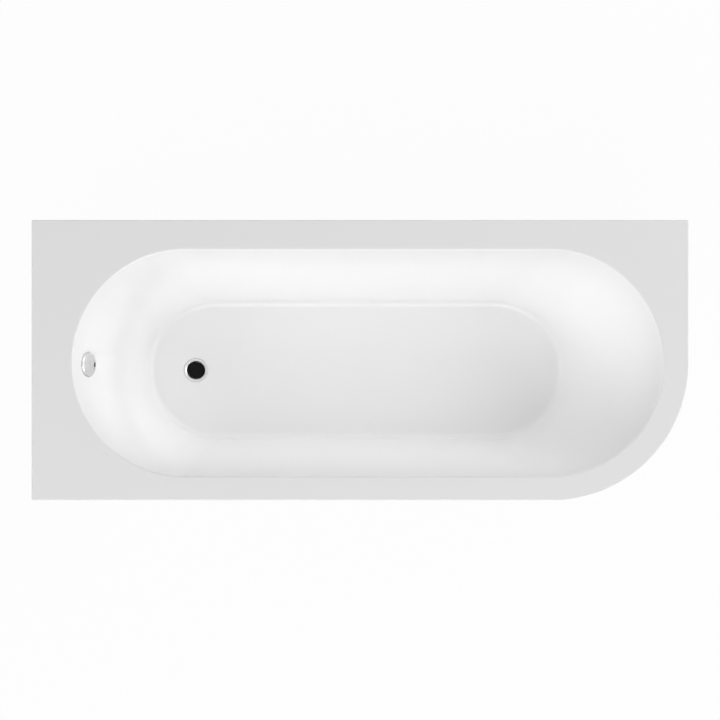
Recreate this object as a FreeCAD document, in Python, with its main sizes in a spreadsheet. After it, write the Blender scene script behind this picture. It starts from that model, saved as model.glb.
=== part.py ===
import FreeCAD, Part
import math
import os
from collections import namedtuple
from types import SimpleNamespace

import Sketcher

# Back-to-wall bathtub with one rounded front corner.
# X runs along the bath, Y towards the back wall, Z up. The origin is on the floor under the middle.

SIZES = (
    ("bath_length", 1700, "length over the rim"),
    ("bath_width", 725, "width over the rim"),
    ("bath_height", 560, "floor to the top of the rim"),
    ("floor_height", 140, "ground to the floor of the well"),
    ("acrylic", 5, "thickness of the moulded shell"),
    ("rim_left", 105, "rim width at the overflow end"),
    ("rim_right", 65, "rim width at the back-rest end"),
    ("rim_front", 62, "rim width at the front"),
    ("rim_back", 77, "rim width at the wall"),
    ("lip_depth", 40, "height of the turned-down lip"),
    ("corner_radius", 4, "rounding of the three square corners"),
    ("rim_edge_radius", 3, "rounding of the outer rim edge"),
    ("well_edge_radius", 6, "rounding from the rim into the well"),
    ("floor_radius", 200, "half width of the well floor"),
    ("left_wall_run", 127, "lean of the overflow end wall"),
    ("right_wall_run", 192, "lean of the back rest"),
    ("floor_edge_radius", 22, "rounding from the walls into the floor"),
    ("backing", 4, "thickness of the glass-fibre coat"),
    ("bond_gap", 0.5, "adhesive layer under the acrylic"),
    ("backing_clearance", 6, "space left round a fitting that passes the coat"),
    ("loose_gap", 0.3, "space between pieces that don't touch"),
    ("running_gap", 0.1, "radial play of a piece that slides or turns"),
    ("cut_overrun", 10, "length by which a cutter passes its work"),
    ("board_thickness", 18, "base board"),
    ("board_width", 330, "base board"),
    ("batten_width", 30, "timber under the back and left rim"),
    ("batten_slim_width", 22, "timber under the front and right rim"),
    ("batten_height", 22, "timber under the rim"),
    ("batten_setback", 10, "space from the well or the lip to a batten"),
    ("left_batten_length", 430, "timber under the left rim"),
    ("end_batten_start", 40, "front end of the right battens from the middle of the bath"),
    ("end_batten_stop", 22, "back end of the right battens from the wall"),
    ("channel_length", 540, "cradle channel"),
    ("channel_width", 45, "cradle channel"),
    ("channel_height", 28, "cradle channel"),
    ("steel", 2, "cradle and bracket sheet"),
    ("channel_inset", 100, "cradle from the end of the board"),
    ("foot_inset", 42, "foot from the end of its cradle"),
    ("stud_radius", 5, "threaded foot stud"),
    ("stud_hole_gap", 0.6, "play of the stud in the channel"),
    ("stud_head", 8, "stud above its upper nut"),
    ("nut_flats", 17, "lock nut across flats"),
    ("nut_height", 8, "lock nut"),
    ("spanner_flats", 14, "hexagon on the stud"),
    ("spanner_height", 8, "hexagon on the stud"),
    ("spanner_clearance", 3, "hexagon above the pad"),
    ("pad_radius", 24, "foot pad"),
    ("pad_height", 10, "foot pad"),
    ("pad_chamfer", 2.5, "foot pad"),
    ("pad_floor", 8, "foot pad under the stud"),
    ("hub_radius", 10, "socket of the foot pad"),
    ("hub_height", 14, "socket of the foot pad"),
    ("plate_length", 90, "centre foot plate"),
    ("plate_width", 60, "centre foot plate"),
    ("plate_thickness", 3, "centre foot plate"),
    ("plate_stud_rise", 3.5, "centre stud above the plate"),
    ("board_hole_radius", 7, "hole in the board above the centre stud"),
    ("screw_radius", 2.2, "wood screw"),
    ("screw_head_radius", 4.5, "wood screw"),
    ("screw_head", 2.5, "wood screw"),
    ("screw_length", 15, "wood screw under its head"),
    ("board_screw_span", 240, "screws of one cradle"),
    ("board_screw_spread", 20, "screws of one cradle, across the channel"),
    ("plate_screw_inset", 9, "screws of the centre plate from its edge"),
    ("panel_thickness", 4, "apron panel"),
    ("panel_gap", 0.5, "panel behind the lip and under the rim"),
    ("panel_floor_gap", 12, "panel above the floor"),
    ("top_return", 16, "panel edge turned in at the top"),
    ("bottom_return", 24, "panel edge turned in at the bottom"),
    ("panel_batten_height", 40, "timber on the back of the panel"),
    ("panel_batten_width", 20, "timber on the back of the panel"),
    ("panel_batten_inset", 14, "end of the front panel batten from the panel's end"),
    ("clip_width", 24, "panel clip"),
    ("clip_thickness", 3, "panel clip"),
    ("clip_height", 16, "panel clip"),
    ("clip_reach", 11, "panel clip under the panel edge"),
    ("bracket_width", 24, "panel bracket"),
    ("bracket_thickness", 3, "panel bracket"),
    ("bracket_drop", 4, "panel bracket above the foot of its batten"),
    ("bracket_screw_spread", 18, "screws of one panel bracket"),
    ("bracket_lap", 28, "panel bracket under the channel"),
    ("bolt_radius", 3, "bracket bolt"),
    ("bolt_flats", 10, "bracket bolt head and nut"),
    ("bolt_head", 4, "bracket bolt head"),
    ("bolt_nut", 5, "bracket nut"),
    ("bolt_tail", 3, "bracket bolt above its nut"),
    ("hook_width", 50, "wall bracket"),
    ("hook_thickness", 2.5, "wall bracket"),
    ("hook_plate", 52, "wall bracket below the lip"),
    ("hook_depth", 13.5, "wall bracket under the lip"),
    ("hook_rise", 16, "wall bracket behind the lip"),
    ("hook_hole_radius", 3, "wall bracket screw hole"),
    ("hook_hole_spread", 30, "wall bracket screw holes"),
    ("hook_spread", 900, "distance between the two back brackets"),
    ("hook_left_offset", 170, "left bracket behind the middle of the bath"),
    ("waste_inset", 134, "waste from the end of the floor"),
    ("flange_radius", 35, "waste flange"),
    ("flange_thickness", 2.5, "waste flange"),
    ("flange_proud", 1, "waste flange above the floor"),
    ("flange_bevel", 1.2, "edge of the waste flange"),
    ("recess_gap", 0.8, "recess round the waste flange"),
    ("recess_depth", 3, "recess in the well floor"),
    ("boss_margin", 9, "thickened shell round a fitting"),
    ("mouth_radius", 31, "upper edge of the waste throat"),
    ("mouth_depth", 3.5, "bevel of the waste throat"),
    ("throat_wall", 2, "waste throat wall at the bevel"),
    ("throat_radius", 25, "waste throat at the plug"),
    ("throat_depth", 26, "flange top to the plug seat"),
    ("seat_thickness", 2, "plug seat"),
    ("bowl_radius", 29, "outside of the waste throat"),
    ("tail_radius", 23.9, "threaded tail of the waste"),
    ("tail_wall", 3.4, "threaded tail of the waste"),
    ("tail_length", 68, "threaded tail of the waste"),
    ("tail_end", 20, "free thread for the trap"),
    ("groove_width", 1.6, "thread groove above the free end"),
    ("groove_depth", 0.8, "thread groove above the free end"),
    ("tail_slot_width", 12, "overflow slot in the tail"),
    ("tail_slot_height", 20, "overflow slot in the tail"),
    ("tail_slot_drop", 3, "overflow slot below the throat"),
    ("seal_thickness", 3, "rubber seals of waste and overflow"),
    ("banjo_wall", 4, "overflow collar"),
    ("banjo_space", 4, "water way round the throat"),
    ("banjo_height", 47, "overflow collar"),
    ("port_drop", 37, "overflow inlet below the well floor"),
    ("port_reach", 72, "overflow inlet from the middle of the waste"),
    ("back_nut_height", 12, "nut under the collar"),
    ("plug_gap", 0.5, "plug cap in its throat"),
    ("plug_seal_thickness", 1.6, "plug seal"),
    ("plug_seal_width", 5.3, "plug seal"),
    ("plug_thickness", 4, "plug cap edge"),
    ("plug_dome", 1.5, "crown of the plug cap"),
    ("plug_bevel", 1, "edge of the plug cap"),
    ("plunger_radius", 4, "plunger under the plug"),
    ("plunger_length", 24.5, "plunger under the plug"),
    ("cartridge_wall", 1.9, "click mechanism sleeve"),
    ("cartridge_drop", 4, "click mechanism below the plug"),
    ("cartridge_collar", 2, "collar of the click mechanism"),
    ("cartridge_floor", 1.5, "closed end of the click mechanism"),
    ("spider_drop", 18, "cross bar below the cap"),
    ("spider_height", 6, "cross bar in the tail"),
    ("spider_width", 5, "cross bar in the tail"),
    ("spider_wall", 3.8, "eye of the cross bar"),
    ("overflow_drop", 75, "overflow below the rim"),
    ("cover_radius", 32, "overflow cover"),
    ("cover_depth", 8, "overflow cover"),
    ("cover_wall", 1.8, "overflow cover"),
    ("cover_dome", 1.5, "crown of the overflow cover"),
    ("cover_bevel", 1.6, "edge of the overflow cover"),
    ("cover_slot_width", 11, "slot in the overflow cover"),
    ("cover_slot_height", 8, "slot in the overflow cover"),
    ("cover_slot_edge", 3, "slot from the edge of the cover"),
    ("seat_margin", 2, "flat seat round the overflow cover"),
    ("seat_depth", 1, "flat seat in the end wall"),
    ("overflow_boss", 4, "thickening behind the overflow"),
    ("bush_radius", 24.5, "threaded bush of the overflow"),
    ("bush_wall", 3.5, "threaded bush of the overflow"),
    ("bush_length", 26, "threaded bush of the overflow"),
    ("bush_flange", 3, "flange of the bush"),
    ("elbow_wall", 4, "overflow elbow"),
    ("elbow_flange", 9, "overflow elbow"),
    ("elbow_depth", 41, "overflow elbow"),
    ("spigot_reach", 64, "outlet of the elbow"),
    ("pipe_radius", 12.5, "overflow pipe"),
    ("pipe_wall", 2, "overflow pipe"),
    ("pipe_bend", 45, "overflow pipe, to its middle line"),
    ("socket_wall", 3.7, "pipe socket"),
    ("socket_depth", 21, "pipe socket"),
    ("pipe_end_gap", 1, "pipe end above the bottom of its socket"),
    ("pipe_seal_length", 2.5, "ring seal of the pipe"),
    ("pipe_nut_wall", 3.7, "pipe nut"),
    ("pipe_nut_grip", 14, "pipe nut over its socket"),
    ("pipe_nut_end", 2.5, "end wall of the pipe nut"),
)

# Numbers of equal sides and of equal pieces.
HEXAGON = 6
NUT_SIDES = 8
PIPE_NUT_SIDES = 12
FRONT_CLIPS = 4
END_CLIPS = 2

# Turns, in degrees.
QUARTER = 90
HALF = 180

# Shares of an edge's own extent within which it counts as lying flat or standing upright.
FLAT_SHARE = 0.001
UPRIGHT_SHARE = 0.999

document = FreeCAD.newDocument("bathtub")
sheet = document.addObject("Spreadsheet::Sheet", "Sizes")
for row, (alias, value, note) in enumerate(SIZES, 1):
    sheet.set(f"A{row}", note)
    sheet.set(f"B{row}", str(value))
    sheet.setAlias(f"B{row}", alias)
document.recompute()


class Size:
    """A length with its formula over the sheet and its present value."""

    def __init__(self, formula, value):
        self.formula = formula
        self.value = value

    def join(self, sign, other, value):
        """The size made of this one and another by an arithmetic sign."""
        right = other.formula if isinstance(other, Size) else str(other)
        return Size(f"({self.formula} {sign} {right})", value)

    def __add__(self, other):
        return self.join("+", other, self.value + number(other))

    def __sub__(self, other):
        return self.join("-", other, self.value - number(other))

    def __mul__(self, other):
        return self.join("*", other, self.value * number(other))

    def __truediv__(self, other):
        return self.join("/", other, self.value / number(other))

    def __neg__(self):
        return Size(f"(-{self.formula})", -self.value)


def number(length):
    """The present value of a size, or the plain number itself."""
    return length.value if isinstance(length, Size) else float(length)


def formula(length):
    """The formula of a size, or the plain number as text."""
    return length.formula if isinstance(length, Size) else str(length)


def slope_length(run, rise):
    """The sloping side of a right triangle."""
    return Size(f"sqrt({run.formula}^2 + {rise.formula}^2)", math.hypot(run.value, rise.value))


size = SimpleNamespace(**{alias: Size(f"Sizes.{alias}", float(sheet.get(alias))) for alias, _, _ in SIZES})

# Plan of the bath.
left = -size.bath_length / 2
right = size.bath_length / 2
front = -size.bath_width / 2
back = size.bath_width / 2
well_radius = (size.bath_width - size.rim_front - size.rim_back) / 2
axis = front + size.rim_front + well_radius
well_left = left + size.rim_left + well_radius
well_right = right - size.rim_right - well_radius
floor_end = left + size.rim_left + size.left_wall_run
floor_left = floor_end + size.floor_radius
floor_right = right - size.rim_right - size.right_wall_run - size.floor_radius
round_corner = well_radius + size.rim_front

# Heights.
rim_top = size.bath_height
rim_under = rim_top - size.acrylic
lip_bottom = rim_top - size.lip_depth
well_floor = size.floor_height
well_depth = rim_top - well_floor
shell_bottom = well_floor - size.acrylic
backing_bottom = shell_bottom - size.bond_gap - size.backing
board_bottom = backing_bottom - size.board_thickness
batten_bottom = rim_under - size.batten_height
panel_top = rim_under - size.panel_gap
panel_bottom = size.panel_floor_gap
panel_hook = panel_top - size.panel_thickness
web_under = board_bottom - size.steel

# Distances inwards from the edge of the rim.
panel_face = size.acrylic + size.panel_gap
clip_face = panel_face + size.top_return + size.clip_thickness
bracket_face = panel_face + size.panel_thickness + size.panel_batten_width

# Feet.
cradle_places = {"left": floor_left + size.channel_inset, "right": floor_right - size.channel_inset}
foot_reach = size.channel_length / 2 - size.foot_inset
foot_rows = {"front": axis - foot_reach, "back": axis + foot_reach}
board_middle = (floor_left + floor_right) / 2
bracket_bolt_y = axis - size.channel_length / 2 + size.bracket_lap / 2

# Overflow frame: its middle on the end wall, the way out of the wall and the way down it.
wall_slope = slope_length(size.left_wall_run, well_depth)
lean_across = size.left_wall_run / wall_slope
lean_down = well_depth / wall_slope
overflow_x = left + size.rim_left + size.overflow_drop * size.left_wall_run / well_depth
overflow_z = rim_top - size.overflow_drop
OUT_ANGLE = Size(
    f"atan({well_depth.formula} / {size.left_wall_run.formula})",
    math.degrees(math.atan2(well_depth.value, size.left_wall_run.value)),
)
DOWN_ANGLE = Size(f"({OUT_ANGLE.formula} + {QUARTER} deg)", OUT_ANGLE.value + QUARTER)

waste_x = floor_end + size.waste_inset
port_z = well_floor - size.port_drop

# Panel fixings.
Clips = namedtuple("Clips", "along count")
end_run = (size.end_batten_start, back - size.end_batten_stop)
clip_sides = {
    "front": Clips((well_left, well_right), FRONT_CLIPS),
    "right": Clips(end_run, END_CLIPS),
}
clip_screw_height = panel_hook - (size.clip_height + size.clip_thickness) / 2
panel_batten_low = panel_bottom + size.panel_thickness
panel_batten_middle = panel_batten_low + size.panel_batten_height / 2
bracket_screw_heights = [panel_batten_middle + size.bracket_screw_spread * sign / 2 for sign in (-1, 1)]

# Overflow pipe.
socket_radius = size.pipe_radius + size.loose_gap
elbow_top = -size.acrylic - size.overflow_boss - size.seal_thickness
spigot_out = elbow_top - (size.elbow_wall + size.elbow_depth) / 2

Arc = namedtuple("Arc", "x y radius start stop clockwise")
nodes = {}


def node(label, thing):
    """Keep a finished sub-part under its own label."""
    thing.Label = label
    nodes[label] = thing
    return thing


def place(thing, x=0, y=0, z=0, turn=None):
    """Put a sub-part at a point, turned about Y by an angle from the sheet."""
    if turn is not None:
        thing.Placement = FreeCAD.Placement(
            FreeCAD.Vector(), FreeCAD.Rotation(FreeCAD.Vector(0, 1, 0), turn.value)
        )
        thing.setExpression("Placement.Rotation.Angle", turn.formula)
    for letter, length in zip("xyz", (x, y, z)):
        thing.setExpression(f"Placement.Base.{letter}", formula(length))
    return thing


def place_on_wall(thing, down, out, along_wall=False, sideways=0):
    """Put a sub-part in the overflow frame, its own Z out of the wall or down along it."""
    return place(
        thing,
        overflow_x + lean_across * down + lean_down * out,
        axis + sideways,
        overflow_z - lean_down * down + lean_across * out,
        DOWN_ANGLE if along_wall else OUT_ANGLE,
    )


def block(name, x, y, z):
    """A box between the low and the high bound of each axis."""
    box = document.addObject("Part::Box", name)
    for side, (low, high) in zip(("Length", "Width", "Height"), (x, y, z)):
        box.setExpression(side, formula(high - low))
    return place(box, x[0], y[0], z[0])


def rod(name, radius, length):
    """A cylinder that stands on the origin."""
    cylinder = document.addObject("Part::Cylinder", name)
    cylinder.setExpression("Radius", radius.formula)
    cylinder.setExpression("Height", length.formula)
    return cylinder


def upright(name, radius, x, y, low, high):
    """A standing cylinder between two heights."""
    return place(rod(name, radius, high - low), x, y, low)


def side_block(name, side, along, inward, z):
    """A box at one side of the bath, its depth counted inwards from the rim's edge."""
    ranges = {
        "front": (along, (front + inward[0], front + inward[1])),
        "back": (along, (back - inward[1], back - inward[0])),
        "left": ((left + inward[0], left + inward[1]), along),
        "right": ((right - inward[1], right - inward[0]), along),
    }
    return block(name, *ranges[side], z)


def side_rod(name, side, radius, along, inward, z):
    """A cylinder that runs inwards from one side of the bath."""
    cylinder = rod(name, radius, inward[1] - inward[0])
    turns = {
        "front": (FreeCAD.Vector(1, 0, 0), -QUARTER, (along, front + inward[0])),
        "back": (FreeCAD.Vector(1, 0, 0), QUARTER, (along, back - inward[0])),
        "left": (FreeCAD.Vector(0, 1, 0), QUARTER, (left + inward[0], along)),
        "right": (FreeCAD.Vector(0, 1, 0), -QUARTER, (right - inward[0], along)),
    }
    pole, angle, spot = turns[side]
    cylinder.Placement.Rotation = FreeCAD.Rotation(pole, angle)
    return place(cylinder, *spot, z)


def prism(name, sides, flats, length, x, y, z):
    """A standing prism with the given width across its flats."""
    thing = document.addObject("Part::Prism", name)
    thing.Polygon = sides
    share = math.cos(math.pi / sides)
    thing.setExpression("Circumradius", (flats / (2 * share)).formula)
    thing.setExpression("Height", length.formula)
    return place(thing, x, y, z)


def fuse(name, things):
    """Several solids joined into one."""
    joined = document.addObject("Part::MultiFuse", name)
    joined.Shapes = things
    return joined


def group(name, things):
    """Several solids kept apart under one name."""
    together = document.addObject("Part::Compound", name)
    together.Links = things
    return together


def cut(name, base, tools):
    """A solid with the cutters taken out of it."""
    difference = document.addObject("Part::Cut", name)
    difference.Base = base
    difference.Tool = tools[0] if len(tools) == 1 else fuse(f"{name}_tools", tools)
    return difference


def new_body(name):
    """An empty body that features are added to."""
    return document.addObject("PartDesign::Body", name)


def sketch_on(body, role, name, offset=0):
    """A sketch on one of the body's own planes, moved off it by a size."""
    sketch = body.newObject("Sketcher::SketchObject", name)
    plane = next(item for item in body.Origin.OriginFeatures if item.Role == role)
    sketch.AttachmentSupport = [(plane, "")]
    sketch.MapMode = "FlatFace"
    sketch.setExpression("AttachmentOffset.Base.z", formula(offset))
    return sketch


def hold(sketch, kind, item, point, length):
    """Bind one coordinate of a sketch point to a formula."""
    index = sketch.addConstraint(Sketcher.Constraint(kind, -1, 1, item, point, number(length)))
    sketch.setExpression(f"Constraints[{index}]", formula(length))


def draw_arc(sketch, arc):
    """Add an arc that starts and ends on the axes through its centre."""
    centre = FreeCAD.Vector(number(arc.x), number(arc.y), 0)
    circle = Part.Circle(centre, FreeCAD.Vector(0, 0, 1), number(arc.radius))
    item = sketch.addGeometry(
        Part.ArcOfCircle(circle, math.radians(arc.start), math.radians(arc.stop)), False
    )
    hold(sketch, "DistanceX", item, 3, arc.x)
    hold(sketch, "DistanceY", item, 3, arc.y)
    index = sketch.addConstraint(Sketcher.Constraint("Radius", item, number(arc.radius)))
    sketch.setExpression(f"Constraints[{index}]", formula(arc.radius))
    for point, angle in ((1, arc.start), (2, arc.stop)):
        if angle % HALF:
            hold(sketch, "DistanceX", item, point, arc.x)
        else:
            hold(sketch, "DistanceY", item, point, arc.y)
    return item


def draw_loop(sketch, corners):
    """Draw a closed outline through corner points and arcs, joined by straight lines."""
    ends = []
    for corner in corners:
        if isinstance(corner, Arc):
            item = draw_arc(sketch, corner)
            first, last = (2, 1) if corner.clockwise else (1, 2)
            ends.append(((item, first), (item, last)))
        else:
            ends.append((None, None))

    def spot(index, entry):
        if ends[index][0] is None:
            x, y = corners[index]
            return FreeCAD.Vector(number(x), number(y), 0)
        item, point = ends[index][0] if entry else ends[index][1]
        return sketch.getPoint(item, point)

    lines = []
    for index in range(len(corners)):
        following = (index + 1) % len(corners)
        line = Part.LineSegment(spot(index, False), spot(following, True))
        lines.append(sketch.addGeometry(line, False))
    for index, corner in enumerate(corners):
        line, before = lines[index], lines[index - 1]
        entry, leave = ends[index]
        if entry is None:
            hold(sketch, "DistanceX", line, 1, corner[0])
            hold(sketch, "DistanceY", line, 1, corner[1])
            sketch.addConstraint(Sketcher.Constraint("Coincident", before, 2, line, 1))
        else:
            sketch.addConstraint(Sketcher.Constraint("Coincident", leave[0], leave[1], line, 1))
            sketch.addConstraint(Sketcher.Constraint("Coincident", before, 2, entry[0], entry[1]))
    return sketch


def turned(name, profile):
    """A piece turned about its own Z from a profile of radius and height."""
    body = new_body(name)
    sketch = draw_loop(sketch_on(body, "XZ_Plane", f"{name}_profile"), profile)
    turn = body.newObject("PartDesign::Revolution", f"{name}_turn")
    turn.Profile = sketch
    turn.ReferenceAxis = (sketch, ["V_Axis"])
    turn.Angle = 2 * HALF
    return body


def ring(name, inner, outer, low, high):
    """A flat ring between two heights."""
    return turned(name, [(inner, low), (outer, low), (outer, high), (inner, high)])


def pad(body, name, outline, low, length):
    """Add the space over an outline to a body."""
    sketch = draw_loop(sketch_on(body, "XY_Plane", f"{name}_outline", low), outline)
    raised = body.newObject("PartDesign::Pad", name)
    raised.Profile = sketch
    raised.setExpression("Length", formula(length))
    return raised


def loft(body, kind, name, upper, lower):
    """Join an upper and a lower outline by straight walls; each is (height, outline)."""
    sketches = []
    for level, (height, outline) in (("upper", upper), ("lower", lower)):
        sketch = sketch_on(body, "XY_Plane", f"{name}_{level}", height)
        sketches.append(draw_loop(sketch, outline))
    walls = body.newObject(f"PartDesign::{kind}", name)
    walls.Profile = sketches[0]
    walls.Sections = [sketches[1]]
    walls.Ruled = True
    document.recompute()
    return walls


def round_edges(body, name, feature, radius, chosen):
    """Round the edges of a body's last feature that the test picks."""
    names = [f"Edge{index}" for index, edge in enumerate(feature.Shape.Edges, 1) if chosen(edge)]
    rounded = body.newObject("PartDesign::Fillet", name)
    rounded.Base = (feature, names)
    rounded.setExpression("Radius", formula(radius))
    document.recompute()
    return rounded


def level_at(height):
    """A test for edges that lie flat at a height."""

    def flat(edge):
        box = edge.BoundBox
        allowance = box.DiagonalLength * FLAT_SHARE
        return abs(box.ZMin - height.value) < allowance and box.ZLength < allowance

    return flat


def upright_edge(edge):
    """Whether an edge stands straight up."""
    box = edge.BoundBox
    return box.ZLength > box.DiagonalLength * UPRIGHT_SHARE


def at_outline(edge):
    """Whether an edge lies on the outside of the bath."""
    box = edge.BoundBox
    reach = size.acrylic.value / 2
    outside = (
        box.XMin < left.value + reach,
        box.XMax > right.value - reach,
        box.YMin < front.value + reach,
        box.YMax > back.value - reach,
    )
    return any(outside)


def stadium(start, stop, radius):
    """A long outline with round ends, along the axis of the well."""
    return [
        Arc(start, axis, radius, QUARTER, 3 * QUARTER, False),
        Arc(stop, axis, radius, -QUARTER, QUARTER, False),
    ]


def bath_outline(inset):
    """The outline of the rim, moved in by a size."""
    middle_x = right - round_corner
    middle_y = front + round_corner
    return [
        (left + inset, front + inset),
        Arc(middle_x, middle_y, round_corner - inset, -QUARTER, 0, False),
        (right - inset, back - inset),
        (left + inset, back - inset),
    ]


def well_walls(body, name, kind, growth):
    """Walls and floor of the well, grown outwards and downwards by a size."""
    return loft(
        body,
        kind,
        name,
        (rim_top, stadium(well_left, well_right, well_radius + growth)),
        (well_floor - growth, stadium(floor_left, floor_right, size.floor_radius + growth)),
    )


def hollow_well(body, name, inner, outer):
    """A thin well between two growths, rounded at the floor inside and outside."""
    well_walls(body, f"{name}_outer", "AdditiveLoft", outer)
    walls = well_walls(body, f"{name}_inner", "SubtractiveLoft", inner)
    inside = round_edges(
        body, f"{name}_inner_edge", walls, size.floor_edge_radius + inner, level_at(well_floor - inner)
    )
    return round_edges(
        body, f"{name}_outer_edge", inside, size.floor_edge_radius + outer, level_at(well_floor - outer)
    )


def make_shell():
    """The moulded acrylic bath."""
    body = new_body("shell_form")
    pad(body, "rim", bath_outline(0), rim_under, size.acrylic)
    lip_sketch = sketch_on(body, "XY_Plane", "lip_outline", lip_bottom)
    draw_loop(lip_sketch, bath_outline(0))
    draw_loop(lip_sketch, bath_outline(size.acrylic))
    lip = body.newObject("PartDesign::Pad", "lip")
    lip.Profile = lip_sketch
    lip.setExpression("Length", size.lip_depth.formula)
    hollow = hollow_well(body, "well", 0, size.acrylic)
    at_rim = level_at(rim_top)
    soft = round_edges(
        body, "well_edge", hollow, size.well_edge_radius, lambda edge: at_rim(edge) and not at_outline(edge)
    )
    corners = round_edges(
        body,
        "square_corners",
        soft,
        size.corner_radius,
        lambda edge: upright_edge(edge) and at_outline(edge),
    )
    round_edges(
        body, "rim_edge", corners, size.rim_edge_radius, lambda edge: at_rim(edge) and at_outline(edge)
    )

    hole = size.bowl_radius + size.recess_gap
    recess = size.flange_radius + size.recess_gap
    boss = recess + size.boss_margin
    boss_bottom = shell_bottom - size.recess_depth
    waste_boss = upright("waste_boss", boss, waste_x, axis, boss_bottom, well_floor - size.recess_depth)
    cover_seat = size.cover_radius + size.seat_margin
    overflow_depth = size.acrylic + size.overflow_boss
    overflow_boss = rod(
        "overflow_boss", size.cover_radius + size.boss_margin, overflow_depth - size.overflow_boss / 2
    )
    place_on_wall(overflow_boss, 0, -overflow_depth)
    recess_bottom = well_floor - size.recess_depth
    overflow_seat = rod("overflow_seat", cover_seat, size.cut_overrun + size.seat_depth)
    overflow_hole = rod(
        "overflow_hole", size.bush_radius + size.recess_gap, size.cut_overrun * 2 + overflow_depth
    )
    tools = [
        upright("waste_recess", recess, waste_x, axis, recess_bottom, well_floor + size.cut_overrun),
        upright("waste_hole", hole, waste_x, axis, boss_bottom - size.cut_overrun, well_floor),
        place_on_wall(overflow_seat, 0, -size.seat_depth),
        place_on_wall(overflow_hole, 0, -overflow_depth - size.cut_overrun),
    ]
    node("tub_shell", cut("shell_cut", fuse("shell_bosses", [body, waste_boss, overflow_boss]), tools))


def make_backing():
    """The glass-fibre coat under the well."""
    inner = size.acrylic + size.bond_gap
    outer = inner + size.backing
    body = new_body("backing_form")
    hollow_well(body, "coat", inner, outer)
    opening = size.flange_radius + size.recess_gap + size.boss_margin + size.backing_clearance
    overflow_opening = size.cover_radius + size.boss_margin + size.backing_clearance
    tools = [
        block(
            "rim_space",
            (left, right),
            (front, back),
            (rim_under - size.bond_gap, rim_top + size.cut_overrun),
        ),
        upright("waste_opening", opening, waste_x, axis, backing_bottom - size.cut_overrun, well_floor),
        place_on_wall(
            rod("overflow_opening", overflow_opening, (outer + size.cut_overrun) * 2), 0, -outer * 2
        ),
    ]
    node("tub_backing", cut("backing_cut", body, tools))


def make_battens():
    """The timber under the rim."""
    height = (batten_bottom, rim_under)
    coat = size.rim_back - size.acrylic - size.bond_gap - size.backing - size.batten_setback
    depth = (coat - size.batten_width, coat)
    node(
        "rim_batten_back",
        side_block("back_batten", "back", (well_left, well_right), depth, height),
    )
    start = size.acrylic + size.batten_setback
    reach = (axis - size.left_batten_length / 2, axis + size.left_batten_length / 2)
    node(
        "rim_batten_left",
        side_block("left_batten", "left", reach, (start, start + size.batten_width), height),
    )
    for side in clip_sides:
        depth = (clip_face, clip_face + size.batten_slim_width)
        timber = side_block(f"{side}_batten", side, clip_sides[side].along, depth, height)
        pilots = [
            side_rod(
                f"{side}_batten_pilot_{index}",
                side,
                size.screw_radius + size.running_gap,
                place_along,
                (clip_face - size.cut_overrun, clip_face + size.screw_length),
                clip_screw_height,
            )
            for index, place_along in enumerate(clip_places(side))
        ]
        node(f"rim_batten_{side}", cut(f"{side}_batten_cut", timber, pilots))


def clip_places(side):
    """Middles of the clips along one side."""
    along, count = clip_sides[side]
    return [along[0] + (along[1] - along[0]) * (2 * index + 1) / (2 * count) for index in range(count)]


def wood_screw(name, side, along, face, way, z):
    """A screw with its head on a face, driven inwards (way 1) or outwards (way -1) at one side."""
    head_reach = sorted((face - size.screw_head * way, face), key=number)
    shank_reach = sorted((face - size.screw_head * way, face + size.screw_length * way), key=number)
    head = side_rod(f"{name}_head", side, size.screw_head_radius, along, head_reach, z)
    shank = side_rod(f"{name}_shank", side, size.screw_radius, along, shank_reach, z)
    return fuse(name, [head, shank])


def make_clips():
    """The clips that hold the top edge of the panel, with their screws."""
    clips = []
    screws = []
    leg_face = clip_face - size.clip_thickness
    for side in clip_sides:
        for index, middle in enumerate(clip_places(side)):
            name = f"{side}_clip_{index}"
            along = (middle - size.clip_width / 2, middle + size.clip_width / 2)
            height = (panel_hook - size.clip_height, panel_hook)
            leg = side_block(f"{name}_leg", side, along, (leg_face, clip_face), height)
            tongue = side_block(
                f"{name}_tongue",
                side,
                along,
                (leg_face - size.clip_reach, clip_face),
                (panel_hook - size.clip_thickness, panel_hook),
            )
            hole = side_rod(
                f"{name}_hole",
                side,
                size.screw_radius + size.running_gap,
                middle,
                (leg_face - size.cut_overrun, clip_face + size.cut_overrun),
                clip_screw_height,
            )
            clips.append(cut(name, fuse(f"{name}_bent", [leg, tongue]), [hole]))
            screws.append(wood_screw(f"{name}_screw", side, middle, leg_face, 1, clip_screw_height))
    node("panel_clips", group("clip_group", clips))
    node("clip_screws", group("clip_screw_group", screws))


def panel_strip(depth):
    """The plan of the panel from the left end round the front corner to the wall."""
    start = left + panel_face
    near = front + panel_face
    far = right - panel_face
    end = back - panel_face
    middle_x = right - round_corner
    middle_y = front + round_corner
    radius = round_corner - panel_face
    return [
        (start, near),
        Arc(middle_x, middle_y, radius, -QUARTER, 0, False),
        (far, end),
        (far - depth, end),
        Arc(middle_x, middle_y, radius - depth, -QUARTER, 0, True),
        (start, near + depth),
    ]


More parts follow.
